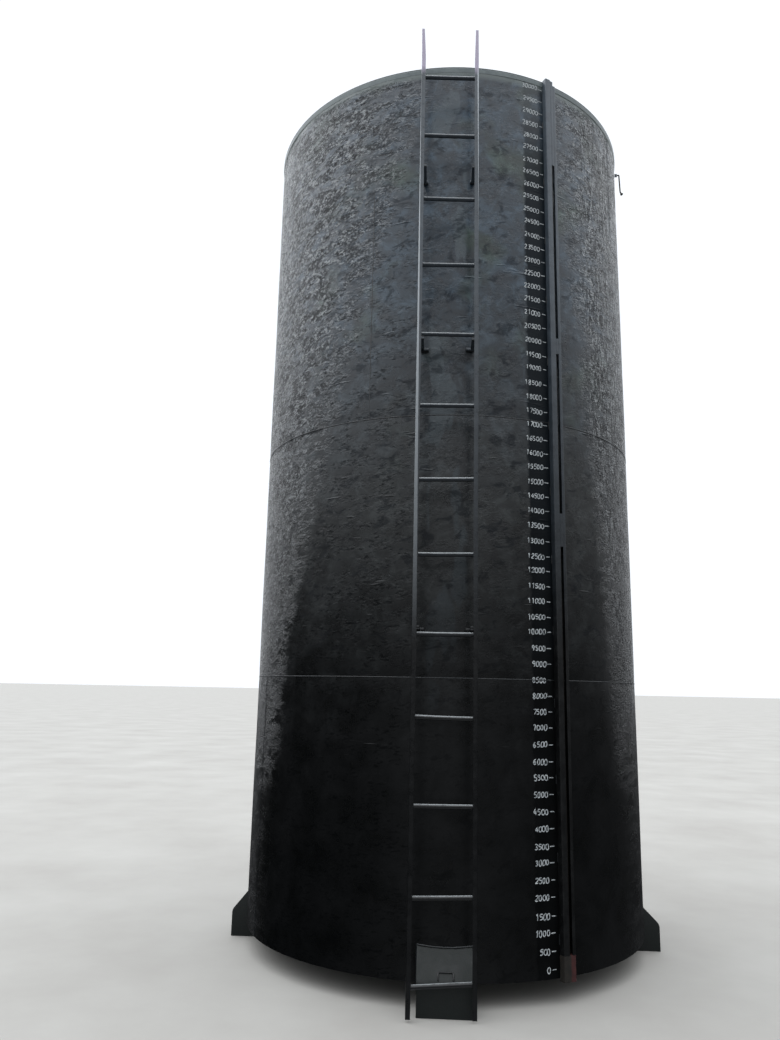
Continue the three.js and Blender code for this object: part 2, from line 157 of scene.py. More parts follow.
# How high up the tank's own space is cut out of the legs
LEG_CUT_TOP = 0.800
LEG_INNER = RADIUS - 0.100
# Each leg's reach from the axis, and the height at which it meets the shell
LEG_SHAPES = {
    "leg_front": (RADIUS + 0.118, 0.305),
    "leg_right": (RADIUS + 0.100, 0.265),
    "leg_back": (RADIUS + 0.118, 0.285),
    "leg_left": (RADIUS + 0.100, 0.285),
}
# The staple on the front leg's shoulder: its two sides, its foot and top up the slope
STAPLE_SIDES = (-0.035, 0.045)
STAPLE_SLOPE = (0.014, 0.056)
STAPLE_RADIUS = 0.0035

# Lug and rod, high on the right
LUG_AZIMUTH = 76.875
LUG_Z = 5.572
LUG_LENGTH = 0.018
LUG_HALF_HEIGHT = 0.012
LUG_HALF_PLATE = 0.004
LUG_SINK = 0.0001
ROD_RADIUS = 0.005
# The rod's route: how far beyond the lug's tip, and how far below it, each bend lies
ROD_ROUTE = ((0.0004, 0.0), (0.014, 0.0), (0.019, 0.148), (0.032, 0.172))
ROD_BEND = 0.008
NUT_RADIUS = 0.0115
# How far up the rod from its free end the nut starts, is widest, and ends
NUT_SPAN = (0.012, 0.006, 0.001)

# Litre scale
MARK_ZERO_Z = 0.1775
MARK_STEP = 0.09055
MARKS = 61
MARK_LITRES = 500
# The marks drift above an even spacing: by MARK_DRIFT in all between two marks, and by
# LATE_DRIFT more at each mark beyond a later one
MARK_DRIFT = 0.018
DRIFT_MARKS = (36, 42)
LATE_DRIFT = 0.004
LATE_MARK = 57
TICK = 0.030
FIGURE_GAP = 0.034
FIGURE_HEIGHT = 0.030
FIGURE_WIDTH = 0.017
FIGURE_PITCH = 0.0235
BRUSH = 0.0052
PAINT_PROUD = 0.0006

# Photograph's viewpoint, found from the rim, the seams, the scale and the silhouettes
EYE = Vector((-0.0565, -6.0873, 1.641))
EYE_YAW = 3.365
EYE_PITCH = 11.673
EYE_ROLL = 1.135
LENS = 38.02
FILM_WIDTH = 36.0

FLOOR_SIZE = 6000.0

# The dome's brightness at each sine of the height above the horizon
SKY_TOP = 2.6
SKY_RISE = (
    (-1.0, 0.40), (-0.45, 0.30), (-0.22, 0.03), (-0.13, 0.09), (-0.05, 0.08), (0.035, 0.14),
    (0.10, 0.30), (0.16, 0.50), (0.34, 0.95), (0.47, 1.40), (0.60, 1.65), (0.80, 2.20), (1.0, 2.60))
# The brightness behind the tank, and the shares kept on the left and right: each goes from the
# third value to the fourth between two heights
SKY_BEHIND = 1.16
SKY_LEFT = (0.16, 0.24, 0.04, 1.40)
SKY_LEFT_BEHIND = 1.35
SKY_LEFT_CROWN = 1.30
SKY_RIGHT = (0.04, 0.50, 0.50, 1.0)
SKY_TINT = "f1f5fa"

made = bpy.data.collections.new("tank_visual")
bpy.context.scene.collection.children.link(made)


# Materials

def linear(hex_colour):
    """An sRGB hex colour as linear RGBA."""
    parts = [int(hex_colour[i:i + 2], 16) / 255 for i in (0, 2, 4)]
    return tuple(c / 12.92 if c <= 0.04045 else ((c + 0.055) / 1.055) ** 2.4 for c in parts) + (1.0,)


def feed(node, inputs):
    """Links or sets a node's inputs, given in order or by name."""
    for key, value in inputs.items() if isinstance(inputs, dict) else enumerate(inputs):
        if isinstance(value, bpy.types.NodeSocket):
            node.id_data.links.new(value, node.inputs[key])
        else:
            node.inputs[key].default_value = value


def add(tree, kind, inputs=(), out=0, stops=(), **settings):
    """Adds a node with its settings, inputs and colour stops, and gives one of its outputs."""
    new = tree.nodes.new(kind if "Node" in kind else "ShaderNode" + kind)
    for key, value in settings.items():
        setattr(new, key, value)
    feed(new, inputs)
    for number, (position, colour) in enumerate(stops):
        elements = new.color_ramp.elements
        element = elements[number] if number < 2 else elements.new(position)
        element.position = position
        element.color = linear(colour)
    return new.outputs[out] if new.outputs else None


def begin(name, **constants):
    """A new material, its shader with constants on its sockets, what adds its nodes, and the place."""
    material = bpy.data.materials.new(name)
    material.use_nodes = True
    shader = material.node_tree.nodes["Principled BSDF"]
    feed(shader, {key.replace("_", " "): value for key, value in constants.items()})
    put = partial(add, material.node_tree)
    return material, shader, put, put("TexCoord", out="Object")


# Pitch-black enamel brushed over scaly mild steel plate. The scale gives a dense field of
# dimples 10 to 25 mm across that sparkle at a grazing look. Higher up the coat has gone
# chalky blue-grey, with smooth darker blotches where it was laid on thick. The lighter,
# bluer tone higher up is also a painted reflection of the sky, and the scale's crests and
# hollows carry painted highlights and painted shade.
def tank_paint():
    material, shader, put, place = begin("black_enamel_brushed_on_scaly_plate", IOR=1.52)
    split = put("SeparateXYZ", [place]).node.outputs
    height = split["Z"]
    back = put("Math", [split["Y"], -1.0], operation="MULTIPLY")
    turn = put("Math", [split["X"], back], operation="ARCTAN2")
    azimuth = put("Math", [turn, 180 / math.pi], operation="MULTIPLY")
    off_front = put("Math", [azimuth], operation="ABSOLUTE")
    # Coordinates that draw a pattern out along rows: rising to the right, almost level, level
    # and upright. The numbers are how long and how tall the rows are.
    rising_rows, level_rows, level_lines, upright_lines = [
        put("Mapping", {0: place, 2: (0, math.radians(tilt), 0), 3: size}, vector_type="TEXTURE")
        for tilt, size in ((-14, (1.25, 1.25, 0.8)), (-6, (1.8, 1.8, 0.65)), (0, (8, 8, 1)),
                           (0, (1, 1, 2.8)))]
    # Each pattern's coordinates, scale, detail, roughness and distortion
    patterns = {
        "rows": (rising_rows, 26, 6, 0.78, 0.2),
        "squiggles": (upright_lines, 34, 5, 0.68, 0.9),
        "grains": (rising_rows, 75, 3, 0.6, 0.0),
        "ridges": (level_rows, 18, 3, 0.6, 0.4),
        "patches": (level_rows, 10, 5, 0.72, 0.3),
        "runs": (level_lines, 30, 2, 0.5, 0.2),
        "weather": (place, 5, 6, 0.65, 0.3),
        "hue": (place, 2.3, 3, 0.5, 0.0),
        "mottle": (place, 8, 6, 0.66, 0.7),
        "pale": (upright_lines, 7, 2, 0.5, 0.0),
        "flecks": (level_rows, 46, 3, 0.6, 0.4),
        "thick": (rising_rows, 11, 4, 0.65, 0.6),
        "fray": (place, 12, 4, 0.7, 0.0),
    }
    pattern = {}
    for name, (where, size, detail, roughness, bent) in patterns.items():
        pattern[name] = put("TexNoise", {
            0: where, "Scale": size, "Detail": detail, "Roughness": roughness, "Distortion": bent})
    weather = pattern["weather"]

    # Clumps of scale 30 mm across with finer pits in them, in rows that rise to the right,
    # drawn out upright on the right-hand flank, and brush ridges across them.
    rightward = put("MapRange", [azimuth, 150, 100, 0.0, 0.7])
    rightward = put("MapRange", [azimuth, 34, 46, 0.0, rightward])
    scale = put("Mix", {0: rightward, 2: pattern["rows"], 3: pattern["squiggles"]}, data_type="FLOAT")
    grains = put("Math", [pattern["grains"], 0.5], operation="SUBTRACT")
    scale = put("Math", [grains, 0.55, scale], operation="MULTIPLY_ADD")
    rough = put("Math", [pattern["ridges"], 0.3, scale], operation="MULTIPLY_ADD")
    rough = put("Math", [rough, 0.65], operation="SUBTRACT")
    # The scale is strong on both flanks, reaches towards the ladder high up, and stays off the front.
    retreat = put("MapRange", [height, 5.4, 1.8, 0.0, 42.0])
    leftward = put("Math", [azimuth, retreat], operation="ADD")
    left_side = put("MapRange", [leftward, -6, -32, 0.03, 1.0])
    inward = put("Math", [retreat, -0.45, azimuth], operation="MULTIPLY_ADD")
    right_side = put("MapRange", [inward, 30, 48, 0.03, 1.0])
    strength = put("Math", [left_side, right_side], operation="MAXIMUM")
    # It is weak low down and under the rim, patchy all over, roughest on the flanks, and worn
    # smoother again round the back.
    lofty = put("MapRange", [height, 1.0, 2.8, 0.03, 1.0])
    patchy = put("MapRange", [pattern["patches"], 0.56, 0.45, 0.12, 1.5])
    under_rim = put("MapRange", [height, RIM_Z - 0.045, RIM_Z - 0.10, 0.05, 1.0])
    flank = put("MapRange", [off_front, 44, 60, 1.0, 4.2])
    behind = put("MapRange", [off_front, 70, 104, 1.0, 0.15])
    for share in (lofty, patchy, under_rim, flank, behind):
        strength = put("Math", [strength, share], operation="MULTIPLY")
    relief = put("Math", [rough, strength], operation="MULTIPLY")
    # Runs of thick paint: short level ridges near the ladder.
    level_run = put("MapRange", [pattern["runs"], 0.69, 0.79, 0.0, 0.05])
    relief = put("Math", [level_run, lofty, relief], operation="MULTIPLY_ADD")

    # Chalky blue-grey higher up, where sun and rain reach it, with green-grey places; the lighter, bluer
    # tone higher up is also a painted reflection of the bright sky.
    blue, green, grey = [put("ValToRGB", [pattern["mottle"]], stops=stops) for stops in (
        ((0.34, "131e28"), (0.50, "22323e"), (0.66, "3e5160")),
        ((0.34, "14201c"), (0.50, "24352f"), (0.66, "42564f")),
        ((0.35, "111314"), (0.50, "262929"), (0.65, "484c4c")))]
    greenish = put("MapRange", [pattern["hue"], 0.55, 0.66])
    tinted = put("Mix", {0: greenish, 6: blue, 7: green}, out=2, data_type="RGBA")
    cool = put("MapRange", [height, 2.7, 4.3])
    chalk_and_painted_sky = put("Mix", {0: cool, 6: grey, 7: tinted}, out=2, data_type="RGBA")
    # Upright pale patches between the rails, where the ladder kept the brush away.
    pale = put("MapRange", [pattern["pale"], 0.52, 0.56, 0.0, 0.55])
    behind_ladder = put("MapRange", [off_front, 5.5, 4.5, 0.0, pale])
    # Worn crests of the scale are light grey, and its hollows hold black paint; these are also painted
    # highlights on the crests and painted shade in the hollows, strongest on the flanks where the light
    # grazes.
    shown = put("Math", [strength, 1.0], operation="MINIMUM")
    kept = put("MapRange", [off_front, 70, 104, 1.0, 0.45])
    shown = put("Math", [shown, kept], operation="MULTIPLY")
    crest = put("MapRange", [scale, 0.50, 0.58, 0.0, shown])
    hollow = put("MapRange", [scale, 0.49, 0.42, 0.0, shown])
    # Small level flecks of black in clusters, mostly to the left of the ladder.
    most = put("MapRange", [azimuth, -150, -100, 0.15, 0.75])
    most = put("MapRange", [azimuth, -2, -12, 0.15, most])
    clustered = put("MapRange", [pattern["patches"], 0.53, 0.47, 0.0, most])
    flecks = put("MapRange", [pattern["flecks"], 0.52, 0.60, 0.0, clustered])
    # Blotches where the coat was laid on thick, and the smooth grey band under the rim.
    thick = put("MapRange", [pattern["thick"], 0.55, 0.64, 0.0, 0.6])
    band = put("MapRange", [height, RIM_Z - 0.085, RIM_Z - 0.045, 0.0, 0.75])
    # The freshly painted strip behind the numbers is smooth, dark and dull, with a ragged edge.
    frayed = put("Math", [pattern["fray"], 2.6, azimuth], operation="MULTIPLY_ADD")
    full = put("MapRange", [height, 5.50, 4.90, 0.30, 1.0])
    strip = put("MapRange", [frayed, 22.7, 23.6, 0.0, full])
    strip = put("MapRange", [azimuth, 28.9, 28.6, 0.0, strip])
    for share, colour in ((behind_ladder, "4f5b61"), (crest, "c6cacc"), (hollow, "0a0e12"),
                          (flecks, "0c1115"), (thick, "121a23"), (band, "69736f"), (strip, "131b21")):
        chalk_and_painted_sky = put("Mix", {0: share, 6: chalk_and_painted_sky, 7: linear(colour)}, out=2, data_type="RGBA")
    # Painted light: near black low down and the chalky tones higher up, a painted reflection of dark ground
    # below and bright sky above.
    deep = put("ValToRGB", [weather], stops=((0.30, "050606"), (0.70, "0b0c0d")))
    uneven_height = put("Math", [weather, 1.4, height], operation="MULTIPLY_ADD")
    high = put("MapRange", [uneven_height, 2.2, 4.9])
    gloss = put("MapRange", [weather, 0.3, 0.7, 0.24, 0.34])
    gloss = put("Math", [thick, 0.10, gloss], operation="MULTIPLY_ADD")
    gloss = put("Math", [strip, 0.12, gloss], operation="MULTIPLY_ADD")
    dull = strip
    for share in (hollow, flecks, thick):
        dull = put("Math", [dull, share], operation="MAXIMUM")
    feed(shader, {
        "Base Color": put("Mix", {0: high, 6: deep, 7: chalk_and_painted_sky}, out=2, data_type="RGBA"),
        "Roughness": gloss,
        "Specular IOR Level": put("MapRange", [dull, 0.0, 1.0, 0.5, 0.12]),
        "Normal": put("Bump", {"Height": relief, "Distance": 0.055})})
    return material


# The same enamel on rolled angle and folded sheet: smoother, with brush marks along its
# length, greyer high up and black near the ground: a painted reflection of bright sky above
# and dark ground below.
def bar_paint(name, low_tones, high_tones, smoothest, roughest, painted_edge_highlights=False):
    material, shader, put, place = begin(name, IOR=1.52)
    split = put("SeparateXYZ", [place]).node.outputs
    height = split["Z"]
    lengthwise = put("Mapping", {0: place, 3: (1, 1, 0.08)})
    brush = put("TexNoise", {0: lengthwise, "Scale": 160, "Detail": 3, "Roughness": 0.6})
    lumps = put("TexNoise", {0: place, "Scale": 55, "Detail": 4, "Roughness": 0.6, "Distortion": 0.3})
    relief = put("Math", [brush, 0.4, lumps], operation="MULTIPLY_ADD")
    wear = put("TexNoise", {0: place, "Scale": 14, "Detail": 6, "Roughness": 0.65})
    low, high = [put("ValToRGB", [wear], stops=((0.30, dark), (0.75, light)))
                 for dark, light in (low_tones, high_tones)]
    # Painted light: the tones go from black low down to grey higher up.
    painted_light_by_height = put("MapRange", [height, 1.9, 4.4])
    body = put("Mix", {0: painted_light_by_height, 6: low, 7: high}, out=2, data_type="RGBA")
    if painted_edge_highlights:
        # Painted highlight: the rails' outer edges are painted light grey where their rounded corners catch
        # the sky, more so higher up; the free ends above 5.50 m are painted a light purplish grey.
        drift = put("Math", [height, -math.tan(math.radians(LADDER_LEAN)), LADDER_SHIFT],
                    operation="MULTIPLY_ADD")
        sideways = put("Math", [split["X"], drift], operation="SUBTRACT")
        sideways = put("Math", [sideways], operation="ABSOLUTE")
        outer = RAIL_INNER + RAIL_LEG
        edge = put("MapRange", [sideways, outer - 0.0037, outer - 0.0025, 0.0, painted_light_by_height])
        free = put("MapRange", [height, 5.50, 5.56])
        for share, colour in ((edge, "c4cace"), (free, "bab0c4")):
            body = put("Mix", {0: share, 6: body, 7: linear(colour)}, out=2, data_type="RGBA")
    feed(shader, {
        "Base Color": body,
        "Roughness": put("MapRange", [wear, 0.3, 0.7, smoothest, roughest]),
        "Normal": put("Bump", {"Height": relief, "Distance": 0.001})})
    return material


# The enamel on the round rungs: thick and lumpy, rubbed grey on top by boots, with a painted highlight along
# the top and lighter tones painted on the high rungs.
def rung_paint():
    material, shader, put, place = begin("black_enamel_on_trodden_round_bar", IOR=1.52)
    lumps = put("TexNoise", {0: place, "Scale": 55, "Detail": 4, "Roughness": 0.6, "Distortion": 0.3})
    wear = put("TexNoise", {0: place, "Scale": 26, "Detail": 4, "Roughness": 0.6})
    facing_up = put("SeparateXYZ", [place.node.outputs["Normal"]], out="Z")
    height = put("SeparateXYZ", [place], out="Z")
    # Partly wear, partly painted highlight: a light band on the side that faces up, only the very top on the
    # low rungs and reaching down the front on the high ones, where the highlight shows when they are seen
    # from below.
    from_slope = put("MapRange", [height, 0.2, 3.0, 0.86, 0.32])
    above_slope = put("Math", [facing_up, from_slope], operation="SUBTRACT")
    ragged = put("Math", [wear, 0.35, above_slope], operation="MULTIPLY_ADD")
    rubbed_and_highlit = put("MapRange", [ragged, 0.12, 0.30, 0.0, 0.95])
    low, high = [put("ValToRGB", [wear], stops=((0.30, dark), (0.75, light)))
                 for dark, light in (("080909", "131516"), ("1a222a", "323c45"))]
    # Painted light: the coat is lighter on the high rungs, so that their undersides look lit.
    painted_light_by_height = put("MapRange", [height, 1.6, 4.0])
    coat = put("Mix", {0: painted_light_by_height, 6: low, 7: high}, out=2, data_type="RGBA")
    feed(shader, {
        "Base Color": put("Mix", {0: rubbed_and_highlit, 6: coat, 7: linear("95999a")}, out=2, data_type="RGBA"),
        "Roughness": put("MapRange", [rubbed_and_highlit, 0.0, 1.0, 0.30, 0.20]),
        "Normal": put("Bump", {"Height": lumps, "Distance": 0.0012})})
    return material


# Weld metal under the same paint: glossy ripples.
def weld_paint():
    material, shader, put, place = begin("arc_weld_bead_under_black_enamel", IOR=1.52)
    spatter = put("TexNoise", {0: place, "Scale": 240, "Detail": 3, "Roughness": 0.6})
    wear = put("TexNoise", {0: place, "Scale": 6, "Detail": 5, "Roughness": 0.7})
    feed(shader, {
        "Base Color": put("ValToRGB", [wear], stops=((0.35, "090a0b"), (0.70, "1e2326"))),
        "Roughness": put("MapRange", [wear, 0.3, 0.7, 0.30, 0.45]),
        "Normal": put("Bump", {"Height": spatter, "Distance": 0.0008})})
    return material


# Red-oxide primer, dull and dusty, left without a top coat on the guard's foot.
def primer():
    material, shader, put, place = begin("red_oxide_primer_dusty", IOR=1.48)
    rust = put("TexNoise", {0: place, "Scale": 30, "Detail": 6, "Roughness": 0.65, "Distortion": 0.4})
    grit = put("TexNoise", {0: place, "Scale": 120, "Detail": 4, "Roughness": 0.6})
    red, darker_half = [put("ValToRGB", [rust], stops=zip((0.30, 0.55, 0.80), tones)) for tones in (
        ("2a1413", "46201f", "4c2f27"), ("151310", "24201b", "332b22"))]
    # The half towards the ladder is darker, brown-black, and the other half red: the place along the guard's
    # width tells it.
    angle = math.radians(GUARD_AZIMUTH)
    width = put("VectorMath", [place, (math.cos(angle), math.sin(angle), 0)], out="Value",
                operation="DOT_PRODUCT")
    red_share = put("MapRange", [width, 0.004, 0.014])
    feed(shader, {
        "Base Color": put("Mix", {0: red_share, 6: darker_half, 7: red}, out=2, data_type="RGBA"),
        "Roughness": put("MapRange", [rust, 0.3, 0.7, 0.65, 0.9]),
        "Normal": put("Bump", {"Height": grit, "Distance": 0.001})})
    return material


# White oil paint put on by hand with a small brush: thin, so that the black shows through.
def brushed_white():
    material, shader, put, place = begin("white_oil_paint_brushed_thin", IOR=1.47, Roughness=0.6)
    thin = put("TexNoise", {0: place, "Scale": 70, "Detail": 5, "Roughness": 0.7})
    bristles = put("TexNoise", {0: place, "Scale": 300, "Detail": 2})
    feed(shader, {
        "Base Color": put("ValToRGB", [thin], stops=((0.34, "484d4f"), (0.48, "b6bcbe"), (0.70, "e0e3e2"))),
        "Normal": put("Bump", {"Height": bristles, "Distance": 0.0004, "Strength": 0.6})})
    return material


# A plastic level tube gone dark with fuel and dirt.
def clouded_tube():
    material, shader, put, place = begin("fuel_stained_level_tube", IOR=1.49)
    lengthwise = put("Mapping", {0: place, 3: (1, 1, 0.3)})
    stain = put("TexNoise", {0: lengthwise, "Scale": 18, "Detail": 4, "Roughness": 0.55})
    feed(shader, {
        "Base Color": put("ValToRGB", [stain], stops=((0.30, "0d0c0a"), (0.70, "1d1a15"))),
        "Roughness": put("MapRange", [stain, 0.3, 0.7, 0.2, 0.4])})
    return material


# Bare round bar, weathered brown-grey.
def weathered_bar():
    material, shader, put, place = begin("bare_round_bar_weathered", Metallic=0.6)
    rust = put("TexNoise", {0: place, "Scale": 60, "Detail": 5, "Roughness": 0.7})
    feed(shader, {
        "Base Color": put("ValToRGB", [rust], stops=((0.30, "2a2623"), (0.55, "47413c"), (0.75, "5d4a3c"))),
        "Roughness": put("MapRange", [rust, 0.3, 0.7, 0.5, 0.85]),
        "Normal": put("Bump", {"Height": rust, "Distance": 0.001, "Strength": 0.8})})
    return material


# Trowelled pale concrete.
def pale_floor():
    material, shader, put, place = begin("pale_trowelled_floor", Roughness=0.85)
    tone = put("TexNoise", {0: place, "Scale": 0.7, "Detail": 5, "Roughness": 0.6})
    feed(shader, {"Base Color": put("ValToRGB", [tone], stops=((0.30, "9b9893"), (0.70, "a8a6a1")))})
    return material


# Tones near the ground and high up, darkest first
BLACK_TO_GREY = (("060708", "0d0e0f"), ("3d444a", "596168"))
SHEET_TONES = (("070808", "101112"), ("39424a", "566069"))
HOOP_TONES = (("202527", "2c3233"), ("667072", "858f8d"))
LEG_TONES = (("080e0c", "0c1411"), ("080e0c", "0c1411"))
ROOF_TONES = (("202527", "2c3233"), ("33393d", "474e52"))

TANK_PAINT = tank_paint()
BAR_PAINT = bar_paint("black_enamel_on_rolled_angle", *BLACK_TO_GREY, 0.24, 0.38)
GUARD_PAINT = bar_paint("black_enamel_on_folded_sheet", *SHEET_TONES, 0.30, 0.45)
RIM_PAINT = bar_paint("black_enamel_chalked_on_rim_hoop", *HOOP_TONES, 0.35, 0.48)
LEG_PAINT = bar_paint("black_enamel_dusty_on_bent_plate", *LEG_TONES, 0.60, 0.76)
RAIL_PAINT = bar_paint("black_enamel_rubbed_on_ladder_rail", *BLACK_TO_GREY, 0.24, 0.38, painted_edge_highlights=True)
ROOF_PAINT = bar_paint("black_enamel_dusty_on_roof_plate", *ROOF_TONES, 0.38, 0.55)
RUNG_PAINT = rung_paint()
WELD_PAINT = weld_paint()
PRIMER = primer()
WHITE = brushed_white()
TUBE = clouded_tube()
BARE_BAR = weathered_bar()
FLOOR = pale_floor()


# Mesh building

def turned(azimuth, point):
    """A point made at the ladder side, turned round the tank to an azimuth in degrees."""
    return Matrix.Rotation(math.radians(azimuth), 3, "Z") @ Vector(point)


def round_point(radius, angle, z):
    """A point round the tank at an angle in radians from the ladder."""
    return Vector((radius * math.sin(angle), -radius * math.cos(angle), z))


def spread(low, high, steps):
    """Evenly spaced values from low to high, both with them."""
    return [low + (high - low) * i / steps for i in range(steps + 1)]


def all_round(count):
    """Evenly spaced angles all the way round, in radians."""
    return [2 * math.pi * i / count for i in range(count)]


def skin(rings, count, closed=False):
    """Faces between rings of points, joined to the first ring if closed, else with both ends filled."""
    faces = []
    for ring in range(rings if closed else rings - 1):
        start, after = ring * count, (ring + 1) % rings * count
        for i in range(count):
            j = (i + 1) % count
            faces.append((start + i, start + j, after + j, after + i))
    if not closed:
        faces += [tuple(range(count)), tuple(range((rings - 1) * count, rings * count))]
    return faces


def rectangle(left, right, front, back):
    """A closed outline of four corners, from the front left one on."""
    return [(left, front), (right, front), (right, back), (left, back)]


def piece(name, points, faces, material, smooth_angle=35.0):
    """A closed mesh object at the origin, with soft shading except over sharp folds."""
    mesh = bpy.data.meshes.new(name)
    mesh.from_pydata([tuple(p) for p in points], [], faces)
    mesh.validate()
    build = bmesh.new()
    build.from_mesh(mesh)
    bmesh.ops.recalc_face_normals(build, faces=build.faces)
    build.to_mesh(mesh)
    build.free()
    obj = bpy.data.objects.new(name, mesh)
    made.objects.link(obj)
    mesh.materials.append(material)
    soften(mesh, smooth_angle)
    return obj


def soften(mesh, angle):
    mesh.shade_smooth()
    mesh.set_sharp_from_angle(angle=math.radians(angle))


def settled(obj, smooth_angle=35.0):
    """The object with its modifiers made part of its mesh."""
    graph = bpy.context.evaluated_depsgraph_get()
    mesh = bpy.data.meshes.new_from_object(obj.evaluated_get(graph))
    old = obj.data
    obj.modifiers.clear()
    obj.data = mesh
    bpy.data.meshes.remove(old)
    soften(mesh, smooth_angle)
    return obj


def bevelled(obj, width, segments):
    """The object with its sharp edges rounded off."""
    bevel = obj.modifiers.new("edges", "BEVEL")
    bevel.width = width
    bevel.segments = segments
    bevel.limit_method = "ANGLE"
    bevel.angle_limit = math.radians(60)
    return settled(obj)


def cut(obj, cutter):
    """Cuts one mesh out of another and removes the cutter."""
    boolean = obj.modifiers.new("cut", "BOOLEAN")
    boolean.operation = "DIFFERENCE"
    boolean.solver = "EXACT"
    boolean.object = cutter
    settled(obj)
    bpy.data.objects.remove(cutter)


def keep(obj, node=None):
    """Takes in a finished piece: hides the CAD node that it stands for, and attaches it to the root body."""
    if node:
        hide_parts(node)
    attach(obj, "root")


def rounded(outline, radii, steps=4):
    """A closed outline with its corners replaced by arcs, one radius for each corner."""
    result = []
    count = len(outline)
    for i, radius in enumerate(radii):
        corner = Vector(outline[i])
        if radius <= 0:
            result.append(tuple(corner))
            continue
        to_last = (Vector(outline[i - 1]) - corner).normalized()
        to_next = (Vector(outline[(i + 1) % count]) - corner).normalized()
        half = to_last.angle(to_next) / 2
        reach = radius / math.tan(half)
        centre = corner + (to_last + to_next).normalized() * (radius / math.sin(half))
        first = corner + to_last * reach - centre
        last = corner + to_next * reach - centre
        sweep = first.angle_signed(last)
        for angle in spread(0.0, -sweep, steps):
            cosine, sine = math.cos(angle), math.sin(angle)
            turned_arm = Vector((first.x * cosine - first.y * sine, first.x * sine + first.y * cosine))
            result.append(tuple(centre + turned_arm))
    return result


def prism(name, outline, levels, material, azimuth=0.0, wander=None, moved=None):
    """An outline carried up through heights, with a sideways wander and a change to each point."""
    points = []
    for z in levels:
        dx, dy = wander(z) if wander else (0.0, 0.0)
        for x, y in outline:
            place = (x + dx, y + dy, z)
            points.append(turned(azimuth, moved(place) if moved else place))
    return piece(name, points, skin(len(levels), len(outline)), material)


def revolved(name, outline, sides, material):
    """A closed outline of (radius, z) turned round the tank's axis."""
    points = [round_point(radius, angle, z) for angle in all_round(sides) for radius, z in outline]
    return piece(name, points, skin(sides, len(outline), closed=True), material)


def bar(name, path, radius, material, sides=20):
    """A round bar along a path of points, closed at its ends with a small chamfer."""
    points = []
    path = [Vector(p) for p in path]
    tangents = []
    for i in range(len(path)):
        tangents.append((path[min(i + 1, len(path) - 1)] - path[max(i - 1, 0)]).normalized())
    side = tangents[0].orthogonal().normalized()
    chamfer = radius * 0.25
    rings = [(path[0], tangents[0], radius - chamfer)]
    rings.append((path[0] + tangents[0] * chamfer, tangents[0], radius))
    rings += [(p, t, radius) for p, t in zip(path[1:-1], tangents[1:-1])]
    rings.append((path[-1] - tangents[-1] * chamfer, tangents[-1], radius))
    rings.append((path[-1], tangents[-1], radius - chamfer))
    for centre, tangent, size in rings:
        side = (side - tangent * side.dot(tangent)).normalized()
        across = tangent.cross(side)
        for angle in all_round(sides):
            points.append(centre + (side * math.cos(angle) + across * math.sin(angle)) * size)
    return piece(name, points, skin(len(rings), sides), material, 50.0)


def smoothed_path(points, corner, steps=5):
    """Straight runs with their corners rounded by quadratic curves."""
    points = [Vector(p) for p in points]
    path = [points[0]]
    for before, here, after in zip(points, points[1:], points[2:]):
        start = here + (before - here).normalized() * corner
        end = here + (after - here).normalized() * corner
        for t in spread(0, 1, steps):
            path.append(start.lerp(here, t).lerp(here.lerp(end, t), t))
    path.append(points[-1])
    return path


# Weld beads, made by one node tree that runs a rippled bead along paths

def node_group(name, sockets, result):
    """A geometry node tree with these inputs and one output, all named."""
    tree = bpy.data.node_groups.new(name, "GeometryNodeTree")
    for label, kind in sockets:
        tree.interface.new_socket(label, in_out="INPUT", socket_type="NodeSocket" + kind)
    tree.interface.new_socket(result, in_out="OUTPUT", socket_type="NodeSocketGeometry")
    return tree


def grown(name, points, edges, tree, **inputs):
    """A piece that a geometry node tree grows on points and edges."""
    mesh = bpy.data.meshes.new(name)
    mesh.from_pydata(points, edges, [])
    obj = bpy.data.objects.new(name, mesh)
    made.objects.link(obj)
    modifier = obj.modifiers.new("growth", "NODES")
    modifier.node_group = tree
    for item in tree.interface.items_tree:
        key = item.name.replace(" ", "_")
        if item.in_out == "INPUT" and key in inputs:
            modifier[item.identifier] = inputs[key]
    return obj


def weld_tree():
    """A rippled bead swept along a path."""
    tree = node_group("weld_bead", (
        ("Path", "Geometry"), ("Bead radius", "Float"), ("Ripple pitch", "Float"),
        ("Ripple depth", "Float"), ("Seed", "Int"), ("Bead material", "Material")), "Bead")
    put = partial(add, tree)
    given = put("NodeGroupInput").node.outputs
    line = put("GeometryNodeMeshToCurve", {"Mesh": given["Path"]})
    half_pitch = put("Math", [given["Ripple pitch"], 0.5], operation="MULTIPLY")
    even = put("GeometryNodeResampleCurve", {"Curve": line, "Length": half_pitch}, mode="LENGTH")
    index = put("GeometryNodeInputIndex")
    odd = put("Math", [index, 2.0], operation="MODULO")
    groove = put("Math", [odd, given["Ripple depth"]], operation="MULTIPLY")
    uneven = put("FunctionNodeRandomValue", {2: 0.86, 3: 1.12, "Seed": given["Seed"]}, out=1,
                 data_type="FLOAT")
    size = put("Math", [uneven, groove], operation="SUBTRACT")
    radius = put("Math", [size, given["Bead radius"]], operation="MULTIPLY")
    section = put("GeometryNodeCurvePrimitiveCircle", {"Resolution": 8, "Radius": 1.0})
    swept = put("GeometryNodeCurveToMesh", {
        "Curve": even, "Profile Curve": section, "Scale": radius, "Fill Caps": True})
    real = put("GeometryNodeRealizeInstances", {"Geometry": swept})
    painted = put("GeometryNodeSetMaterial", {"Geometry": real, "Material": given["Bead material"]})
    put("NodeGroupOutput", {"Bead": painted})
    return tree


WELD_TREE = weld_tree()


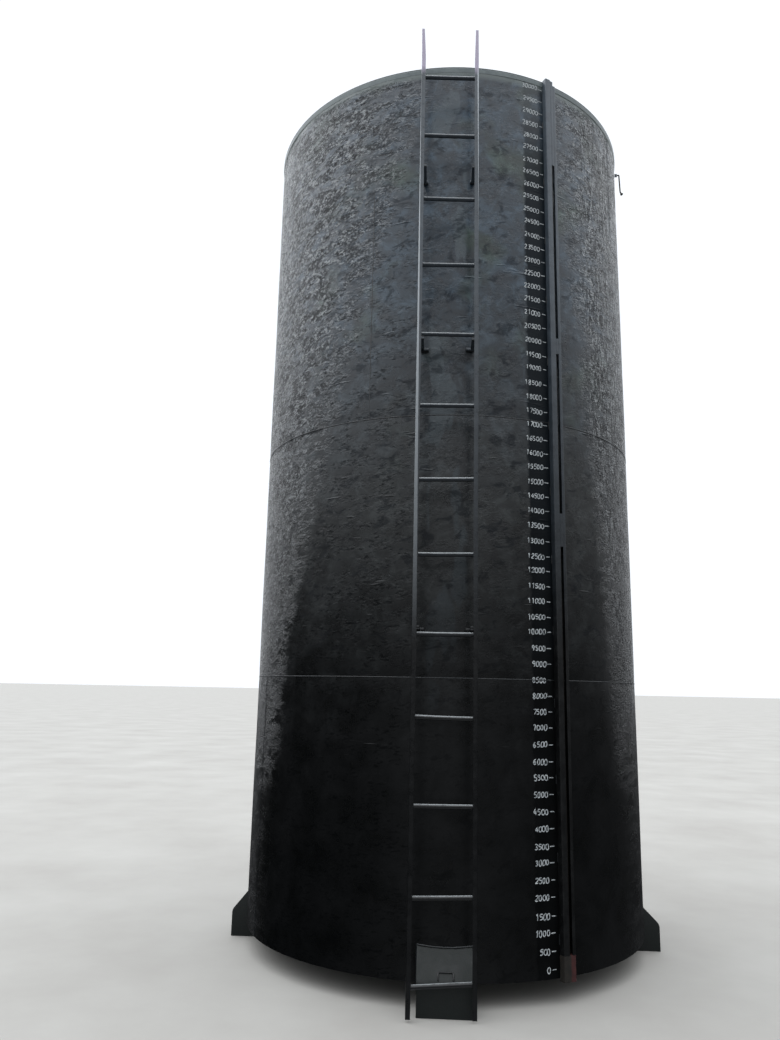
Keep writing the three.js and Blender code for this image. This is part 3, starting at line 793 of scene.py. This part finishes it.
def weld(name, paths, radius=0.004, pitch=0.009, seed=1, closed=False):
    """Rippled weld beads along one or more paths of points."""
    points, edges = [], []
    for path in paths:
        start = len(points)
        points += [tuple(p) for p in path]
        edges += [(i, i + 1) for i in range(start, len(points) - 1)]
        if closed:
            edges.append((len(points) - 1, start))
    beads = grown(name, points, edges, WELD_TREE, Bead_radius=radius, Ripple_pitch=pitch,
                  Ripple_depth=RIPPLE_DEPTH, Seed=seed, Bead_material=WELD_PAINT)
    keep(settled(beads, 60.0))


# Shell

def plate_radius(azimuth, z):
    """The shell's own outer radius there: dished a little between welds, pulled in at them."""
    place = round_point(RADIUS, math.radians(azimuth), z)
    wave = noise.noise(place * 1.1) + 0.45 * noise.noise(place * 2.7 + Vector((7.0, 3.0, 1.0)))
    dish = DISH * (1.0 - max(-1.0, min(1.0, 1.3 * wave)))
    pull = sum(SEAM_PULL * math.exp(-((z - seam) / SEAM_PULL_REACH) ** 2) for seam in SEAMS)
    return RADIUS - dish - pull


def on_shell(azimuth, z, proud=0.0):
    """A point on the shell's outer face, or proud of it."""
    return round_point(plate_radius(azimuth, z) + proud, math.radians(azimuth), z)


def shell_course(number, bottom, top):
    """One ring of rolled plate, its outer face finely divided and its inner face plain."""
    columns = SHELL_COLUMNS
    rows = round((top - bottom) / SHELL_ROW)
    points, faces = [], []
    for z in spread(bottom, top, rows):
        points += [on_shell(360 * column / columns, z) for column in range(columns)]
    for z in (bottom, top):
        points += [round_point(RADIUS - PLATE, angle, z) for angle in all_round(columns)]
    last = rows * columns
    inner_bottom = last + columns
    inner_top = inner_bottom + columns
    for column in range(columns):
        after = (column + 1) % columns
        for row in range(rows):
            low, high = row * columns, (row + 1) * columns
            faces.append((low + column, low + after, high + after, high + column))
        faces.append((inner_bottom + column, inner_bottom + after, after, column))
        faces.append((last + column, last + after, inner_top + after, inner_top + column))
        faces.append((inner_bottom + after, inner_bottom + column, inner_top + column, inner_top + after))
    name = f"shell_course_{number}"
    keep(piece(name + "_plate", points, faces, TANK_PAINT), node=name)


def ring_path(z, radius=None):
    """A closed path round the tank, sunk a little into the plate unless a radius is given."""
    if radius is None:
        return [on_shell(360 * i / RING_STEPS, z, -SEAM_SINK) for i in range(RING_STEPS)]
    return [round_point(radius, angle, z) for angle in all_round(RING_STEPS)]


edges_z = (SHELL_BOTTOM,) + SEAMS + (RIM_Z,)
for course in range(4):
    shell_course(course + 1, edges_z[course], edges_z[course + 1])
for number, seam in enumerate(SEAMS):
    weld(f"weld_between_courses_{number + 1}_{number + 2}", [ring_path(seam)], SEAM_BEADS[number],
         seed=number + 1, closed=True)

for course, azimuths in enumerate(UPRIGHT_SEAMS):
    steps = spread(edges_z[course] + BEAD_MARGIN, edges_z[course + 1] - BEAD_MARGIN, 40)
    paths = [[on_shell(azimuth, z, -UPRIGHT_SINK) for z in steps] for azimuth in azimuths]
    weld(f"upright_welds_course_{course + 1}", paths, seed=20 + course)


def ring_piece(name, node, corners, radii, arc_steps, sides, material):
    """A piece turned round the tank's axis, from the corners of its section and their radii."""
    keep(revolved(name, rounded(corners, radii, arc_steps), sides, material), node=node)


hoop_bottom = RIM_Z - HOOP_HEIGHT
ring_piece("rim_hoop", "rim_band", [
    (RADIUS + GAP, hoop_bottom), (HOOP_FOOT, hoop_bottom), (HOOP_FACE, RIM_Z - HOOP_LIP), (HOOP_FACE, RIM_Z),
    (RADIUS + GAP, RIM_Z)], [0, 0, 0.004, 0.0012, 0], 4, SHELL_COLUMNS, RIM_PAINT)

floor_edge = RADIUS - PLATE - GAP
ring_piece("tank_floor", "bottom_plate", rectangle(AXIS_HOLE, floor_edge, *FLOOR_PLATE), [0, 0, 0, 0], 1,
           FLOOR_COLUMNS, LEG_PAINT)
weld("weld_under_floor", [ring_path(FLOOR_PLATE[0], RADIUS - PLATE - BEAD_OFFSET)], seed=31, closed=True)


# Roof and manhole

roof_top = RIM_Z + ROOF_RISE
ring_piece("roof_plate", "roof_cone", [
    (NECK_RADIUS + GAP, roof_top), (ROOF_FOLD, RIM_Z), (ROOF_EDGE, RIM_Z), (ROOF_EDGE, RIM_Z + ROOF_PLATE),
    (ROOF_FOLD, RIM_Z + ROOF_PLATE), (NECK_RADIUS + GAP, roof_top + ROOF_PLATE)],
    [0, 0, 0.001, 0.0015, 0.01, 0], 3, ROOF_COLUMNS, ROOF_PAINT)

roof_seams = []
for azimuth in ROOF_SEAMS:
    path = []
    for radius in spread(ROOF_FOLD - BEAD_MARGIN, NECK_RADIUS + BEAD_MARGIN, 29):
        lift = ROOF_RISE * (ROOF_FOLD - radius) / (ROOF_FOLD - NECK_RADIUS)
        path.append(turned(azimuth, (0, -radius, RIM_Z + ROOF_PLATE + lift - ROOF_SEAM_SINK)))
    roof_seams.append(path)
weld("roof_seam_welds", roof_seams, seed=41)
neck_foot = ring_path(roof_top + ROOF_PLATE + BEAD_OFFSET, NECK_RADIUS + BEAD_OFFSET)
weld("manhole_foot_weld", [neck_foot], radius=0.006, seed=42, closed=True)

neck_inner, neck_bottom = NECK_RADIUS - NECK_PLATE, roof_top - NECK_DEPTH
ring_piece("manhole_collar", "manhole_neck", [
    (neck_inner, neck_bottom), (NECK_RADIUS, neck_bottom), (NECK_RADIUS, NECK_TOP - FLANGE_PLATE),
    (FLANGE_RADIUS, NECK_TOP - FLANGE_PLATE), (FLANGE_RADIUS, NECK_TOP), (neck_inner, NECK_TOP)],
    [0, 0, 0.004, 0.0015, 0.0015, 0.001], 3, MANHOLE_COLUMNS, ROOF_PAINT)

lid_bottom = NECK_TOP + GAP
lid_top = lid_bottom + LID_PLATE
ring_piece("manhole_cover", "manhole_lid", rectangle(AXIS_HOLE, FLANGE_RADIUS, lid_bottom, lid_top),
           [0, 0.001, 0.002, 0], 3, MANHOLE_COLUMNS, ROOF_PAINT)


def bolt_tree():
    """Hexagon heads with a washer and a shank end, set evenly round a circle."""
    tree = node_group("bolt_circle", (
        ("Base", "Geometry"), ("Circle radius", "Float"), ("Height", "Float"), ("Bolts", "Int"),
        ("Across corners", "Float"), ("Bolt material", "Material")), "Bolts out")
    put = partial(add, tree)
    given = put("NodeGroupInput").node.outputs
    ring = put("GeometryNodeCurvePrimitiveCircle", {
        "Resolution": given["Bolts"], "Radius": given["Circle radius"]})
    points = put("GeometryNodeCurveToPoints", {"Curve": ring, "Count": given["Bolts"]}, mode="COUNT")
    half = put("Math", [given["Across corners"], 0.5], operation="MULTIPLY")
    bolt = put("GeometryNodeJoinGeometry")
    for sides, share, depth, middle in BOLT_DISCS:
        radius = put("Math", [half, share], operation="MULTIPLY")
        disc = put("GeometryNodeMeshCylinder", {"Vertices": sides, "Radius": radius, "Depth": depth})
        lifted = put("GeometryNodeTransform", {"Geometry": disc, "Translation": (0, 0, middle)})
        feed(bolt.node, {"Geometry": lifted})
    spin = put("FunctionNodeRandomValue", {2: 0.0, 3: math.pi / 3, "Seed": 5}, out=1,
               data_type="FLOAT")
    turn = put("CombineXYZ", {"Z": spin})
    placed = put("GeometryNodeInstanceOnPoints", {"Points": points, "Instance": bolt, "Rotation": turn})
    up = put("CombineXYZ", {"Z": given["Height"]})
    raised = put("GeometryNodeTransform", {"Geometry": placed, "Translation": up})
    real = put("GeometryNodeRealizeInstances", {"Geometry": raised})
    painted = put("GeometryNodeSetMaterial", {"Geometry": real, "Material": given["Bolt material"]})
    put("NodeGroupOutput", {"Bolts out": painted})
    return tree


lid_bolts = grown("manhole_bolts", [], [], bolt_tree(), Circle_radius=(FLANGE_RADIUS + NECK_RADIUS) / 2,
                  Height=lid_top, Bolts=LID_BOLTS, Across_corners=BOLT_ACROSS, Bolt_material=WELD_PAINT)
keep(settled(lid_bolts))

handle_low = lid_top + GAP
handle_high = handle_low + HANDLE_RISE
handle = bar("manhole_handle", smoothed_path(
    [(-HANDLE_REACH, 0, handle_low), (-HANDLE_REACH, 0, handle_high), (HANDLE_REACH, 0, handle_high),
     (HANDLE_REACH, 0, handle_low)], HANDLE_CORNER), HANDLE_RADIUS, BAR_PAINT)
keep(handle, node="manhole_lid_handle")


# Ladder

# The turn and lean with which the ladder hangs on the tank
pivot = Matrix.Translation(LADDER_PIVOT)
skew = Matrix.Rotation(math.radians(LADDER_SKEW), 4, "Z")
lean = Matrix.Rotation(math.radians(LADDER_LEAN), 4, "Y")
HANG = pivot @ skew @ lean @ pivot.inverted()


def facet_y(x):
    """The shell's face near the ladder, at a given x."""
    return -math.sqrt(RADIUS ** 2 - x ** 2)


def rail_wander(side):
    """Rails a millimetre or two off straight, with their free ends bent a little to the left."""
    def wander(z):
        knock = -RAIL_KNOCK * max(0.0, (z - RAIL_TAPER_START) / (RAIL_TOP - RAIL_TAPER_START)) ** 1.5
        return (knock + 0.0016 * noise.noise(Vector((side * 3.1, 0.4, z * 1.3))),
                0.0014 * noise.noise(Vector((side * 5.7, 2.4, z * 1.1))))
    return wander


def rail(name, node, side):
    """A 25 mm angle with its rounded corner outside, its front face cut to a slant at the top."""
    inner, outer = side * RAIL_INNER, side * (RAIL_INNER + RAIL_LEG)
    web, flange = outer - side * RAIL_PLATE, LADDER_FRONT + RAIL_PLATE
    back = LADDER_FRONT + RAIL_LEG
    outline = [(inner, LADDER_FRONT), (outer, LADDER_FRONT), (outer, back), (web, back),
               (web, flange), (inner, flange)]
    outline = rounded(outline, [0.0006, 0.0026, 0.0006, 0.0014, 0.0035, 0.0014])
    wander = rail_wander(side)
    taper_length = RAIL_TOP - RAIL_TAPER_START

    def slanted(place):
        x, y, z = place
        if z <= RAIL_TAPER_START:
            return place
        cut_x = inner + side * RAIL_TAPER * (z - RAIL_TAPER_START) / taper_length + wander(z)[0]
        return (side * max(side * x, side * cut_x), y, z)

    levels = spread(RAIL_BOTTOM, RAIL_TAPER_START, 56) + spread(RAIL_TAPER_START, RAIL_TOP, 8)[1:]
    obj = prism(name, outline, levels, RAIL_PAINT, wander=wander, moved=slanted)
    obj.data.transform(HANG)
    keep(obj, node)


rail("left_rail_angle", "ladder_rail_left", -1)
rail("right_rail_angle", "ladder_rail_right", 1)


def rungs():
    """Round bars behind the rails' faces, each welded all round at both ends."""
    rings = []
    middle_y = LADDER_FRONT + RAIL_PLATE + GAP + RUNG_RADIUS
    bead_radius = RUNG_RADIUS + 0.0005
    z = FIRST_RUNG_Z
    for number, rise in enumerate(RUNG_RISES):
        shape = random.Random(100 + number)
        slope = rise / (2 * RAIL_INNER)
        reach = RAIL_INNER + RAIL_LEG - RAIL_PLATE - GAP - RUNG_RADIUS * abs(slope)
        sag = shape.uniform(0.0, 0.002)
        path = []
        for share in spread(-1, 1, 24):
            level = z + slope * reach * share - sag * (1 - share * share)
            path.append(HANG @ Vector((reach * share, middle_y, level)))
        rung = bar(f"rung_{number + 1:02d}", path, RUNG_RADIUS, RUNG_PAINT, 28)
        keep(rung, f"ladder_rung_{number + 1:02d}")
        for x in (BEAD_OFFSET - reach, -RAIL_INNER - 0.0015, reach - BEAD_OFFSET, RAIL_INNER + 0.0015):
            ring = []
            for angle in all_round(24):
                ring.append(HANG @ Vector((x, middle_y + bead_radius * math.cos(angle),
                                           z + slope * x + bead_radius * math.sin(angle))))
            rings.append(ring)
        if number < len(RUNG_SPACES):
            z += RUNG_SPACES[number]
    weld("rung_welds", rings, radius=0.003, pitch=0.007, seed=51, closed=True)


rungs()


def standoffs():
    """Square bars bent to an L, from the back of each rail to a foot that lies on the shell."""
    beads = []
    front = LADDER_FRONT + RAIL_PLATE + GAP
    half = STANDOFF_HEIGHT / 2
    for place, (z, foot_length) in STANDOFFS.items():
        for side, hand in ((-1, "left"), (1, "right")):
            outer = HANG @ Vector((side * STANDOFF_OUTER_X, front, z))
            inner = HANG @ Vector((side * STANDOFF_INNER_X, front, z))
            foot_x = inner.x - side * foot_length
            outer_y, inner_y, foot_y = (facet_y(x) - GAP for x in (outer.x, inner.x, foot_x))
            outline = rounded([
                (outer.x, outer.y), (outer.x, outer_y), (foot_x, foot_y), (foot_x, foot_y - STANDOFF_HEIGHT),
                (inner.x, inner_y - STANDOFF_HEIGHT), (inner.x, inner.y)],
                [STANDOFF_EDGE, 0.006, STANDOFF_EDGE, STANDOFF_EDGE, 0.003, STANDOFF_EDGE], 5)
            obj = prism(f"standoff_{place}_{hand}", outline, [z - half, z + half], BAR_PAINT)
            keep(bevelled(obj, STANDOFF_EDGE, 2), f"ladder_standoff_{place}_{hand}")
            xs = spread(foot_x, outer.x, 8)
            for level in (z - half - 0.0005, z + half + 0.0005):
                off = Vector((0, BEAD_OFFSET, level - z))
                beads.append([(x, facet_y(x) - BEAD_OFFSET, level) for x in xs])
                beads.append([outer.lerp(inner, share) + off for share in spread(0, 1, 4)])
    weld("standoff_welds", beads, radius=0.0035, pitch=0.008, seed=52)


standoffs()


# Gauge guard

guard_front = -(RADIUS + GUARD_DEPTH)
guard_inside = guard_front + GUARD_PLATE


def guard_angle(name, node, edges, top, web_side, seed):
    """One folded angle of the guard: a front face, and a web back to the shell on one side."""
    left, right = edges
    bottom = GUARD_FOOT[1] + GAP
    if web_side < 0:
        web = left + GUARD_PLATE
        outline = [(left, guard_front), (right, guard_front), (right, guard_inside), (web, guard_inside),
                   (web, facet_y(web) - GAP), (left, facet_y(left) - GAP)]
        radii = [GUARD_FOLD, 0.0008, 0.0008, 0.001, 0, 0]
    else:
        web = right - GUARD_PLATE
        outline = [(left, guard_front), (right, guard_front), (right, facet_y(right) - GAP),
                   (web, facet_y(web) - GAP), (web, guard_inside), (left, guard_inside)]
        radii = [0.0008, GUARD_FOLD, 0, 0, 0.001, 0.0008]

    def wander(z):
        return (0.0009 * noise.noise(Vector((seed, 0.3, z * 1.7))), 0.0)

    def notched(place):
        x, y, z = place
        return (x, min(y, -ROOF_EDGE - NOTCH_GAP), z) if z > NOTCH_Z else place

    levels = spread(bottom, GUARD_EVEN_TOP, 48) + [top]
    obj = prism(name, rounded(outline, radii), levels, GUARD_PAINT, GUARD_AZIMUTH, wander, notched)
    keep(obj, node)


guard_angle("guard_left_sheet", "gauge_guard_left_angle", GUARD_EDGES[:2], GUARD_TOPS[0], -1, 2.2)
guard_angle("guard_right_sheet", "gauge_guard_right_angle", GUARD_EDGES[2:], GUARD_TOPS[1], 1, 6.1)

slot_left, slot_right = GUARD_EDGES[1] + GAP, GUARD_EDGES[2] - GAP
slot_outline = rounded(rectangle(slot_left, slot_right, guard_front, guard_inside), [0.0006] * 4, 2)
for node, levels in GUARD_COVERS.items():
    cover = prism(node.replace("gauge_", ""), slot_outline, levels, GUARD_PAINT, GUARD_AZIMUTH)
    keep(cover, node)

foot_left, foot_right = GUARD_EDGES[0], GUARD_EDGES[3]
hollow_left, hollow_right = foot_left + GUARD_PLATE, foot_right - GUARD_PLATE
foot_outline = rounded(
    [(foot_left, guard_front), (foot_right, guard_front), (foot_right, facet_y(foot_right) - GAP),
     (foot_left, facet_y(foot_left) - GAP)], [0.004, 0.004, 0, 0])
hollow_outline = rectangle(hollow_left, hollow_right, guard_inside, -RADIUS + 0.02)
hollow_levels = (GUARD_FOOT[0] - 0.01, GUARD_FOOT[1] - GUARD_PLATE)
foot_box = prism("guard_foot_box", foot_outline, GUARD_FOOT, PRIMER, GUARD_AZIMUTH)
cut(foot_box, prism("foot_hollow", hollow_outline, hollow_levels, PRIMER, GUARD_AZIMUTH))
keep(foot_box, "gauge_guard_foot")

guard_welds = []
first, last, step, length = GUARD_STITCHES
for edge, side in ((foot_left, -1), (foot_right, 1)):
    x, y = edge + side * BEAD_OFFSET, facet_y(edge) - 0.0005
    z = first
    while z < last:
        guard_welds.append([turned(GUARD_AZIMUTH, (x, y, level)) for level in spread(z, z + length, 5)])
        z += step
weld("guard_stitch_welds", guard_welds, radius=0.0035, pitch=0.008, seed=61)


# Legs

def leg_view(reach, top_z, inset):
    """The side view of a leg, made smaller all round by an inset for its hollow."""
    run, rise = reach - RADIUS, top_z - LEG_SHOULDER_Z
    pitch = rise / run
    drop = inset * math.hypot(run, rise) / run
    inner, outer = LEG_INNER - inset, reach - inset

    def slope_z(radius):
        return LEG_SHOULDER_Z + pitch * (reach - radius) - drop

    side = [(outer, -inset), (outer, slope_z(outer)), (inner, slope_z(inner))]
    return [(inner, -inset)] + smoothed_path(side, LEG_BEND, 8)


def leg_block(name, view, half):
    """The side view of a leg, carried across its width."""
    return prism(name, [(-radius, z) for radius, z in view], (-half, half), LEG_PAINT,
                 moved=lambda place: (place[2], place[0], place[1]))


def leg(number, name):
    """A bent plate leg with closed sides, scribed to the shell above and open below."""
    reach, top_z = LEG_SHAPES[name]
    obj = bevelled(leg_block(f"{name}_plate", leg_view(reach, top_z, 0.0), LEG_HALF_WIDTH), LEG_EDGE, 3)
    cut(obj, leg_block("leg_hollow", leg_view(reach, top_z, LEG_PLATE), LEG_HALF_WIDTH - LEG_PLATE))
    tank_space = rectangle(AXIS_HOLE, RADIUS + GAP, SHELL_BOTTOM - GAP, LEG_CUT_TOP)
    cut(obj, revolved("tank_space", tank_space, SHELL_COLUMNS, LEG_PAINT))
    obj.data.transform(Matrix.Rotation(math.radians(90 * number), 4, "Z"))
    obj.data.update()
    keep(obj, node=name)

    def slope_top(x):
        return LEG_SHOULDER_Z + (top_z - LEG_SHOULDER_Z) / (reach - RADIUS) * (reach + facet_y(x))

    # The fillet weld along the scribed top edge and down both sides to the shell's lower edge.
    beads = [[(x, facet_y(x) - BEAD_OFFSET, slope_top(x) + BEAD_OFFSET)
              for x in spread(-LEG_HALF_WIDTH, LEG_HALF_WIDTH, 24)]]
    for side in (-1, 1):
        x = side * LEG_HALF_WIDTH
        beside, y = x + side * BEAD_OFFSET, facet_y(x) - BEAD_OFFSET
        beads.append([(beside, y, z) for z in spread(SHELL_BOTTOM + BEAD_MARGIN, slope_top(x), 16)])
    return [[turned(90 * number, point) for point in bead] for bead in beads]


leg_welds = []
for number, name in enumerate(LEG_SHAPES):
    leg_welds += leg(number, name)
weld("leg_welds", leg_welds, radius=0.0055, pitch=0.010, seed=71)


def on_shoulder(x, along, off):
    """A point on the front leg's shoulder: x, the way up the slope, and the height off it."""
    reach, top_z = LEG_SHAPES["leg_front"]
    run, rise = reach - RADIUS, top_z - LEG_SHOULDER_Z
    length = math.hypot(run, rise)
    radius = reach - run / length * along + rise / length * off
    return (x, -radius, LEG_SHOULDER_Z + rise / length * along + run / length * off)


staple_route = ((0, 0), (0, 1), (1, 1), (1, 0))
staple_path = [on_shoulder(STAPLE_SIDES[side], STAPLE_SLOPE[end], STAPLE_RADIUS + GAP)
               for side, end in staple_route]
staple = bar("shoulder_staple", smoothed_path(staple_path, 3 * STAPLE_RADIUS), STAPLE_RADIUS, BAR_PAINT, 12)
keep(staple, node="front_leg_staple")


# Lug and rod

lug_root = LUG_SINK - RADIUS
lug_tip = lug_root - LUG_LENGTH
lug_outline = rounded(rectangle(-LUG_HALF_PLATE, LUG_HALF_PLATE, lug_tip, lug_root), [0.001, 0.001, 0, 0], 2)
lug_levels = (LUG_Z - LUG_HALF_HEIGHT, LUG_Z + LUG_HALF_HEIGHT)
keep(prism("lug_plate", lug_outline, lug_levels, GUARD_PAINT, LUG_AZIMUTH), node="side_lug")
rod_points = [turned(LUG_AZIMUTH, (0, lug_tip - out, LUG_Z - down)) for out, down in ROD_ROUTE]
rod = bar("bent_rod", smoothed_path(rod_points, ROD_BEND), ROD_RADIUS, BARE_BAR, 16)
keep(rod, "side_rod")
# A nut on the rod's free end
end, before = rod_points[-1], rod_points[-2]
along_rod = (end - before).normalized()
nut_path = [end - along_rod * back for back in NUT_SPAN]
keep(bar("rod_end_nut", nut_path, NUT_RADIUS, BARE_BAR, 6))


# Hand-painted litre scale

# Brush strokes of each figure, drawn in a box one wide and one tall.
STROKES = {
    "0": [[(0.5, 1.0), (0.1, 0.8), (0.0, 0.45), (0.15, 0.1), (0.5, 0.0), (0.9, 0.15), (1.0, 0.5),
           (0.85, 0.88), (0.5, 1.0)]],
    "1": [[(0.15, 0.78), (0.55, 1.0), (0.55, 0.0)]],
    "2": [[(0.05, 0.8), (0.35, 1.0), (0.8, 0.95), (0.9, 0.7), (0.55, 0.38), (0.05, 0.02), (1.0, 0.04)]],
    "3": [[(0.08, 0.92), (0.5, 1.0), (0.9, 0.8), (0.45, 0.55), (0.95, 0.3), (0.5, 0.0), (0.05, 0.1)]],
    "4": [[(0.6, 1.0), (0.05, 0.35), (1.0, 0.35)], [(0.7, 0.7), (0.68, 0.0)]],
    "5": [[(0.95, 1.0), (0.2, 0.98), (0.14, 0.58), (0.6, 0.62), (0.95, 0.32), (0.6, 0.02), (0.05, 0.08)]],
    "6": [[(0.85, 0.97), (0.35, 0.8), (0.05, 0.35), (0.4, 0.0), (0.9, 0.2), (0.65, 0.5), (0.12, 0.36)]],
    "7": [[(0.05, 0.98), (0.95, 1.0), (0.45, 0.0)]],
    "8": [[(0.5, 0.52), (0.1, 0.78), (0.5, 1.0), (0.9, 0.78), (0.5, 0.52), (0.05, 0.25), (0.5, 0.0),
           (0.95, 0.25), (0.5, 0.52)]],
    "9": [[(0.9, 0.65), (0.5, 0.5), (0.1, 0.72), (0.45, 1.0), (0.9, 0.82), (0.85, 0.4), (0.5, 0.0)]],
}


def through(points, steps):
    """A smooth line through points, each stretch curved by the points before and after it."""
    points = [Vector(p) for p in points]
    line = []
    for i in range(len(points) - 1):
        before = points[max(i - 1, 0)]
        start, end = points[i], points[i + 1]
        after = points[min(i + 2, len(points) - 1)]
        for step in range(steps):
            t = step / steps
            line.append(0.5 * (2 * start + (end - before) * t
                               + (2 * before - 5 * start + 4 * end - after) * t * t
                               + (3 * start - before - 3 * end + after) * t * t * t))
    line.append(points[-1])
    return line


def brush_ribbon(line, shape, points, faces, place):
    """A flat stroke along a line, of uneven width and with round ends."""
    count = len(line)
    start = len(points)
    for i, here in enumerate(line):
        direction = (line[min(i + 1, count - 1)] - line[max(i - 1, 0)]).normalized()
        normal = Vector((-direction.y, direction.x))
        end_share = min(1.0, 0.55 + 0.45 * min(i, count - 1 - i))
        half = BRUSH / 2 * end_share * shape.uniform(0.82, 1.15)
        points.append(place(here + normal * half))
        points.append(place(here - normal * half))
    for i in range(count - 1):
        k = start + 2 * i
        faces.append((k, k + 1, k + 3, k + 2))


def mark_z(mark):
    """Height of a mark: laid out evenly below, a little wide above, widest at the last three."""
    even = MARK_ZERO_Z + MARK_STEP * mark
    start, end = DRIFT_MARKS
    drift = MARK_DRIFT * max(0.0, min(1.0, (mark - start) / (end - start)))
    return even + drift + LATE_DRIFT * max(0, mark - LATE_MARK)


def tick_end(z):
    """Azimuth of the ticks' right ends: they run closer to the guard higher up."""
    return 27.3 + 0.9 * z / 5.6


def litre_scale():
    points, faces = [], []
    per_degree = RADIUS * math.pi / 180
    for mark in range(MARKS):
        shape = random.Random(700 + mark)
        z = mark_z(mark) + shape.uniform(-0.004, 0.004)
        right = tick_end(z)

        def placer(start_azimuth, base_z, lean, tilt):
            def place(point):
                x = point.x + lean * point.y
                return on_shell(start_azimuth + x / per_degree, base_z + point.y + tilt * x, PAINT_PROUD)
            return place

        tick = TICK * shape.uniform(0.8, 1.15)
        place = placer(right - tick / per_degree, z + shape.uniform(-0.002, 0.002), 0.0,
                       shape.uniform(-0.06, 0.06))
        line = through([(0.0, 0.0), (tick * 0.5, shape.uniform(-0.001, 0.001)), (tick, 0.0)], 3)
        brush_ribbon(line, shape, points, faces, place)
        text = str(mark * MARK_LITRES)
        pitch = FIGURE_PITCH * shape.uniform(0.94, 1.02)
        left = right - (FIGURE_GAP + pitch * len(text)) / per_degree
        tilt = shape.uniform(-0.05, 0.05)
        for i, figure in enumerate(text):
            tall = FIGURE_HEIGHT * shape.uniform(0.88, 1.08)
            wide = FIGURE_WIDTH * shape.uniform(0.85, 1.12)
            place = placer(left + i * pitch / per_degree, z - tall / 2 + tilt * i * pitch,
                           shape.uniform(-0.05, 0.14), tilt)
            for stroke in STROKES[figure]:
                uneven = [(x * wide + shape.uniform(-0.0009, 0.0009),
                           y * tall + shape.uniform(-0.0013, 0.0013)) for x, y in stroke]
                brush_ribbon(through(uneven, 4), shape, points, faces, place)
    keep(piece("litre_scale_figures", points, faces, WHITE, 60.0))


litre_scale()


# Kept CAD pieces, stage, light and camera

sight_tube = bpy.data.objects["sight_tube"].data
sight_tube.materials.clear()
sight_tube.materials.append(TUBE)

bpy.ops.mesh.primitive_plane_add(size=FLOOR_SIZE)
floor = bpy.context.object
floor.name = "studio_floor"
floor.data.materials.append(FLOOR)
floor.visible_diffuse = False
floor.visible_glossy = False


def studio_world():
    """An overcast-like dome: bright above, darker low down behind the camera."""
    world = bpy.data.worlds.new("soft_dome")
    bpy.context.scene.world = world
    world.use_nodes = True
    tree = world.node_tree
    put = partial(add, tree)
    direction = put("TexCoord", out="Generated")
    split = put("SeparateXYZ", [direction]).node.outputs
    share = put("MapRange", [split["Z"], -1.0, 1.0])
    rise = put("FloatCurve", {"Value": share}).node
    curve = rise.mapping.curves[0]
    for _ in SKY_RISE[2:]:
        curve.points.new(0.5, 0.5)
    for point, (sine, light) in zip(curve.points, SKY_RISE):
        point.location = ((sine + 1) / 2, light / SKY_TOP)
        point.handle_type = "VECTOR"
    rise.mapping.update()
    behind = put("MapRange", [split["Y"], 0.15, 0.60])
    behind = put("MapRange", [split["Z"], -0.02, 0.0, 0.0, behind])
    bright = put("Math", [behind, SKY_BEHIND / SKY_TOP], operation="MULTIPLY")
    light = put("Math", [rise.outputs[0], bright], operation="MAXIMUM")
    # Brighter on the left but shut off low down there, and a little darker low down on the right.
    left = put("MapRange", [split["X"], -0.15, -0.75])
    above_left = put("MapRange", [split["Z"], *SKY_LEFT])
    away = put("MapRange", [split["Y"], 0.60, 0.90])
    above_left = put("Mix", {0: away, 2: above_left, 3: SKY_LEFT_BEHIND}, data_type="FLOAT")
    right = put("MapRange", [split["X"], 0.38, 0.58])
    above_right = put("MapRange", [split["Z"], *SKY_RIGHT])
    for side, above in ((left, above_left), (right, above_right)):
        share = put("Mix", {0: side, 2: 1.0, 3: above}, data_type="FLOAT")
        light = put("Math", [light, share], operation="MULTIPLY")
    # Brighter again high on the left.
    crown = put("MapRange", [split["Z"], 0.38, 0.62, 0.0, left])
    crown = put("MapRange", [crown, 0.0, 1.0, SKY_TOP, SKY_TOP * SKY_LEFT_CROWN])
    light = put("Math", [light, crown], operation="MULTIPLY")
    # The camera sees a plain white backdrop from every side.
    seen = put("LightPath", out="Is Camera Ray")
    strength = put("Mix", {0: seen, 2: light, 3: SKY_BEHIND}, data_type="FLOAT")
    feed(tree.nodes["Background"], {"Color": linear(SKY_TINT), "Strength": strength})


studio_world()

camera_data = bpy.data.cameras.new("photo_view")
camera = bpy.data.objects.new("photo_view", camera_data)
bpy.context.scene.collection.objects.link(camera)
camera.matrix_world = (
    Matrix.Translation(EYE) @ Matrix.Rotation(math.radians(EYE_YAW), 4, "Z")
    @ Matrix.Rotation(math.radians(90 + EYE_PITCH), 4, "X")
    @ Matrix.Rotation(math.radians(EYE_ROLL), 4, "Z"))
camera_data.lens = LENS
camera_data.sensor_width = FILM_WIDTH
camera_data.sensor_fit = "HORIZONTAL"
camera_data.clip_end = FLOOR_SIZE
bpy.context.scene.camera = camera
bpy.context.scene.view_settings.view_transform = "Standard"
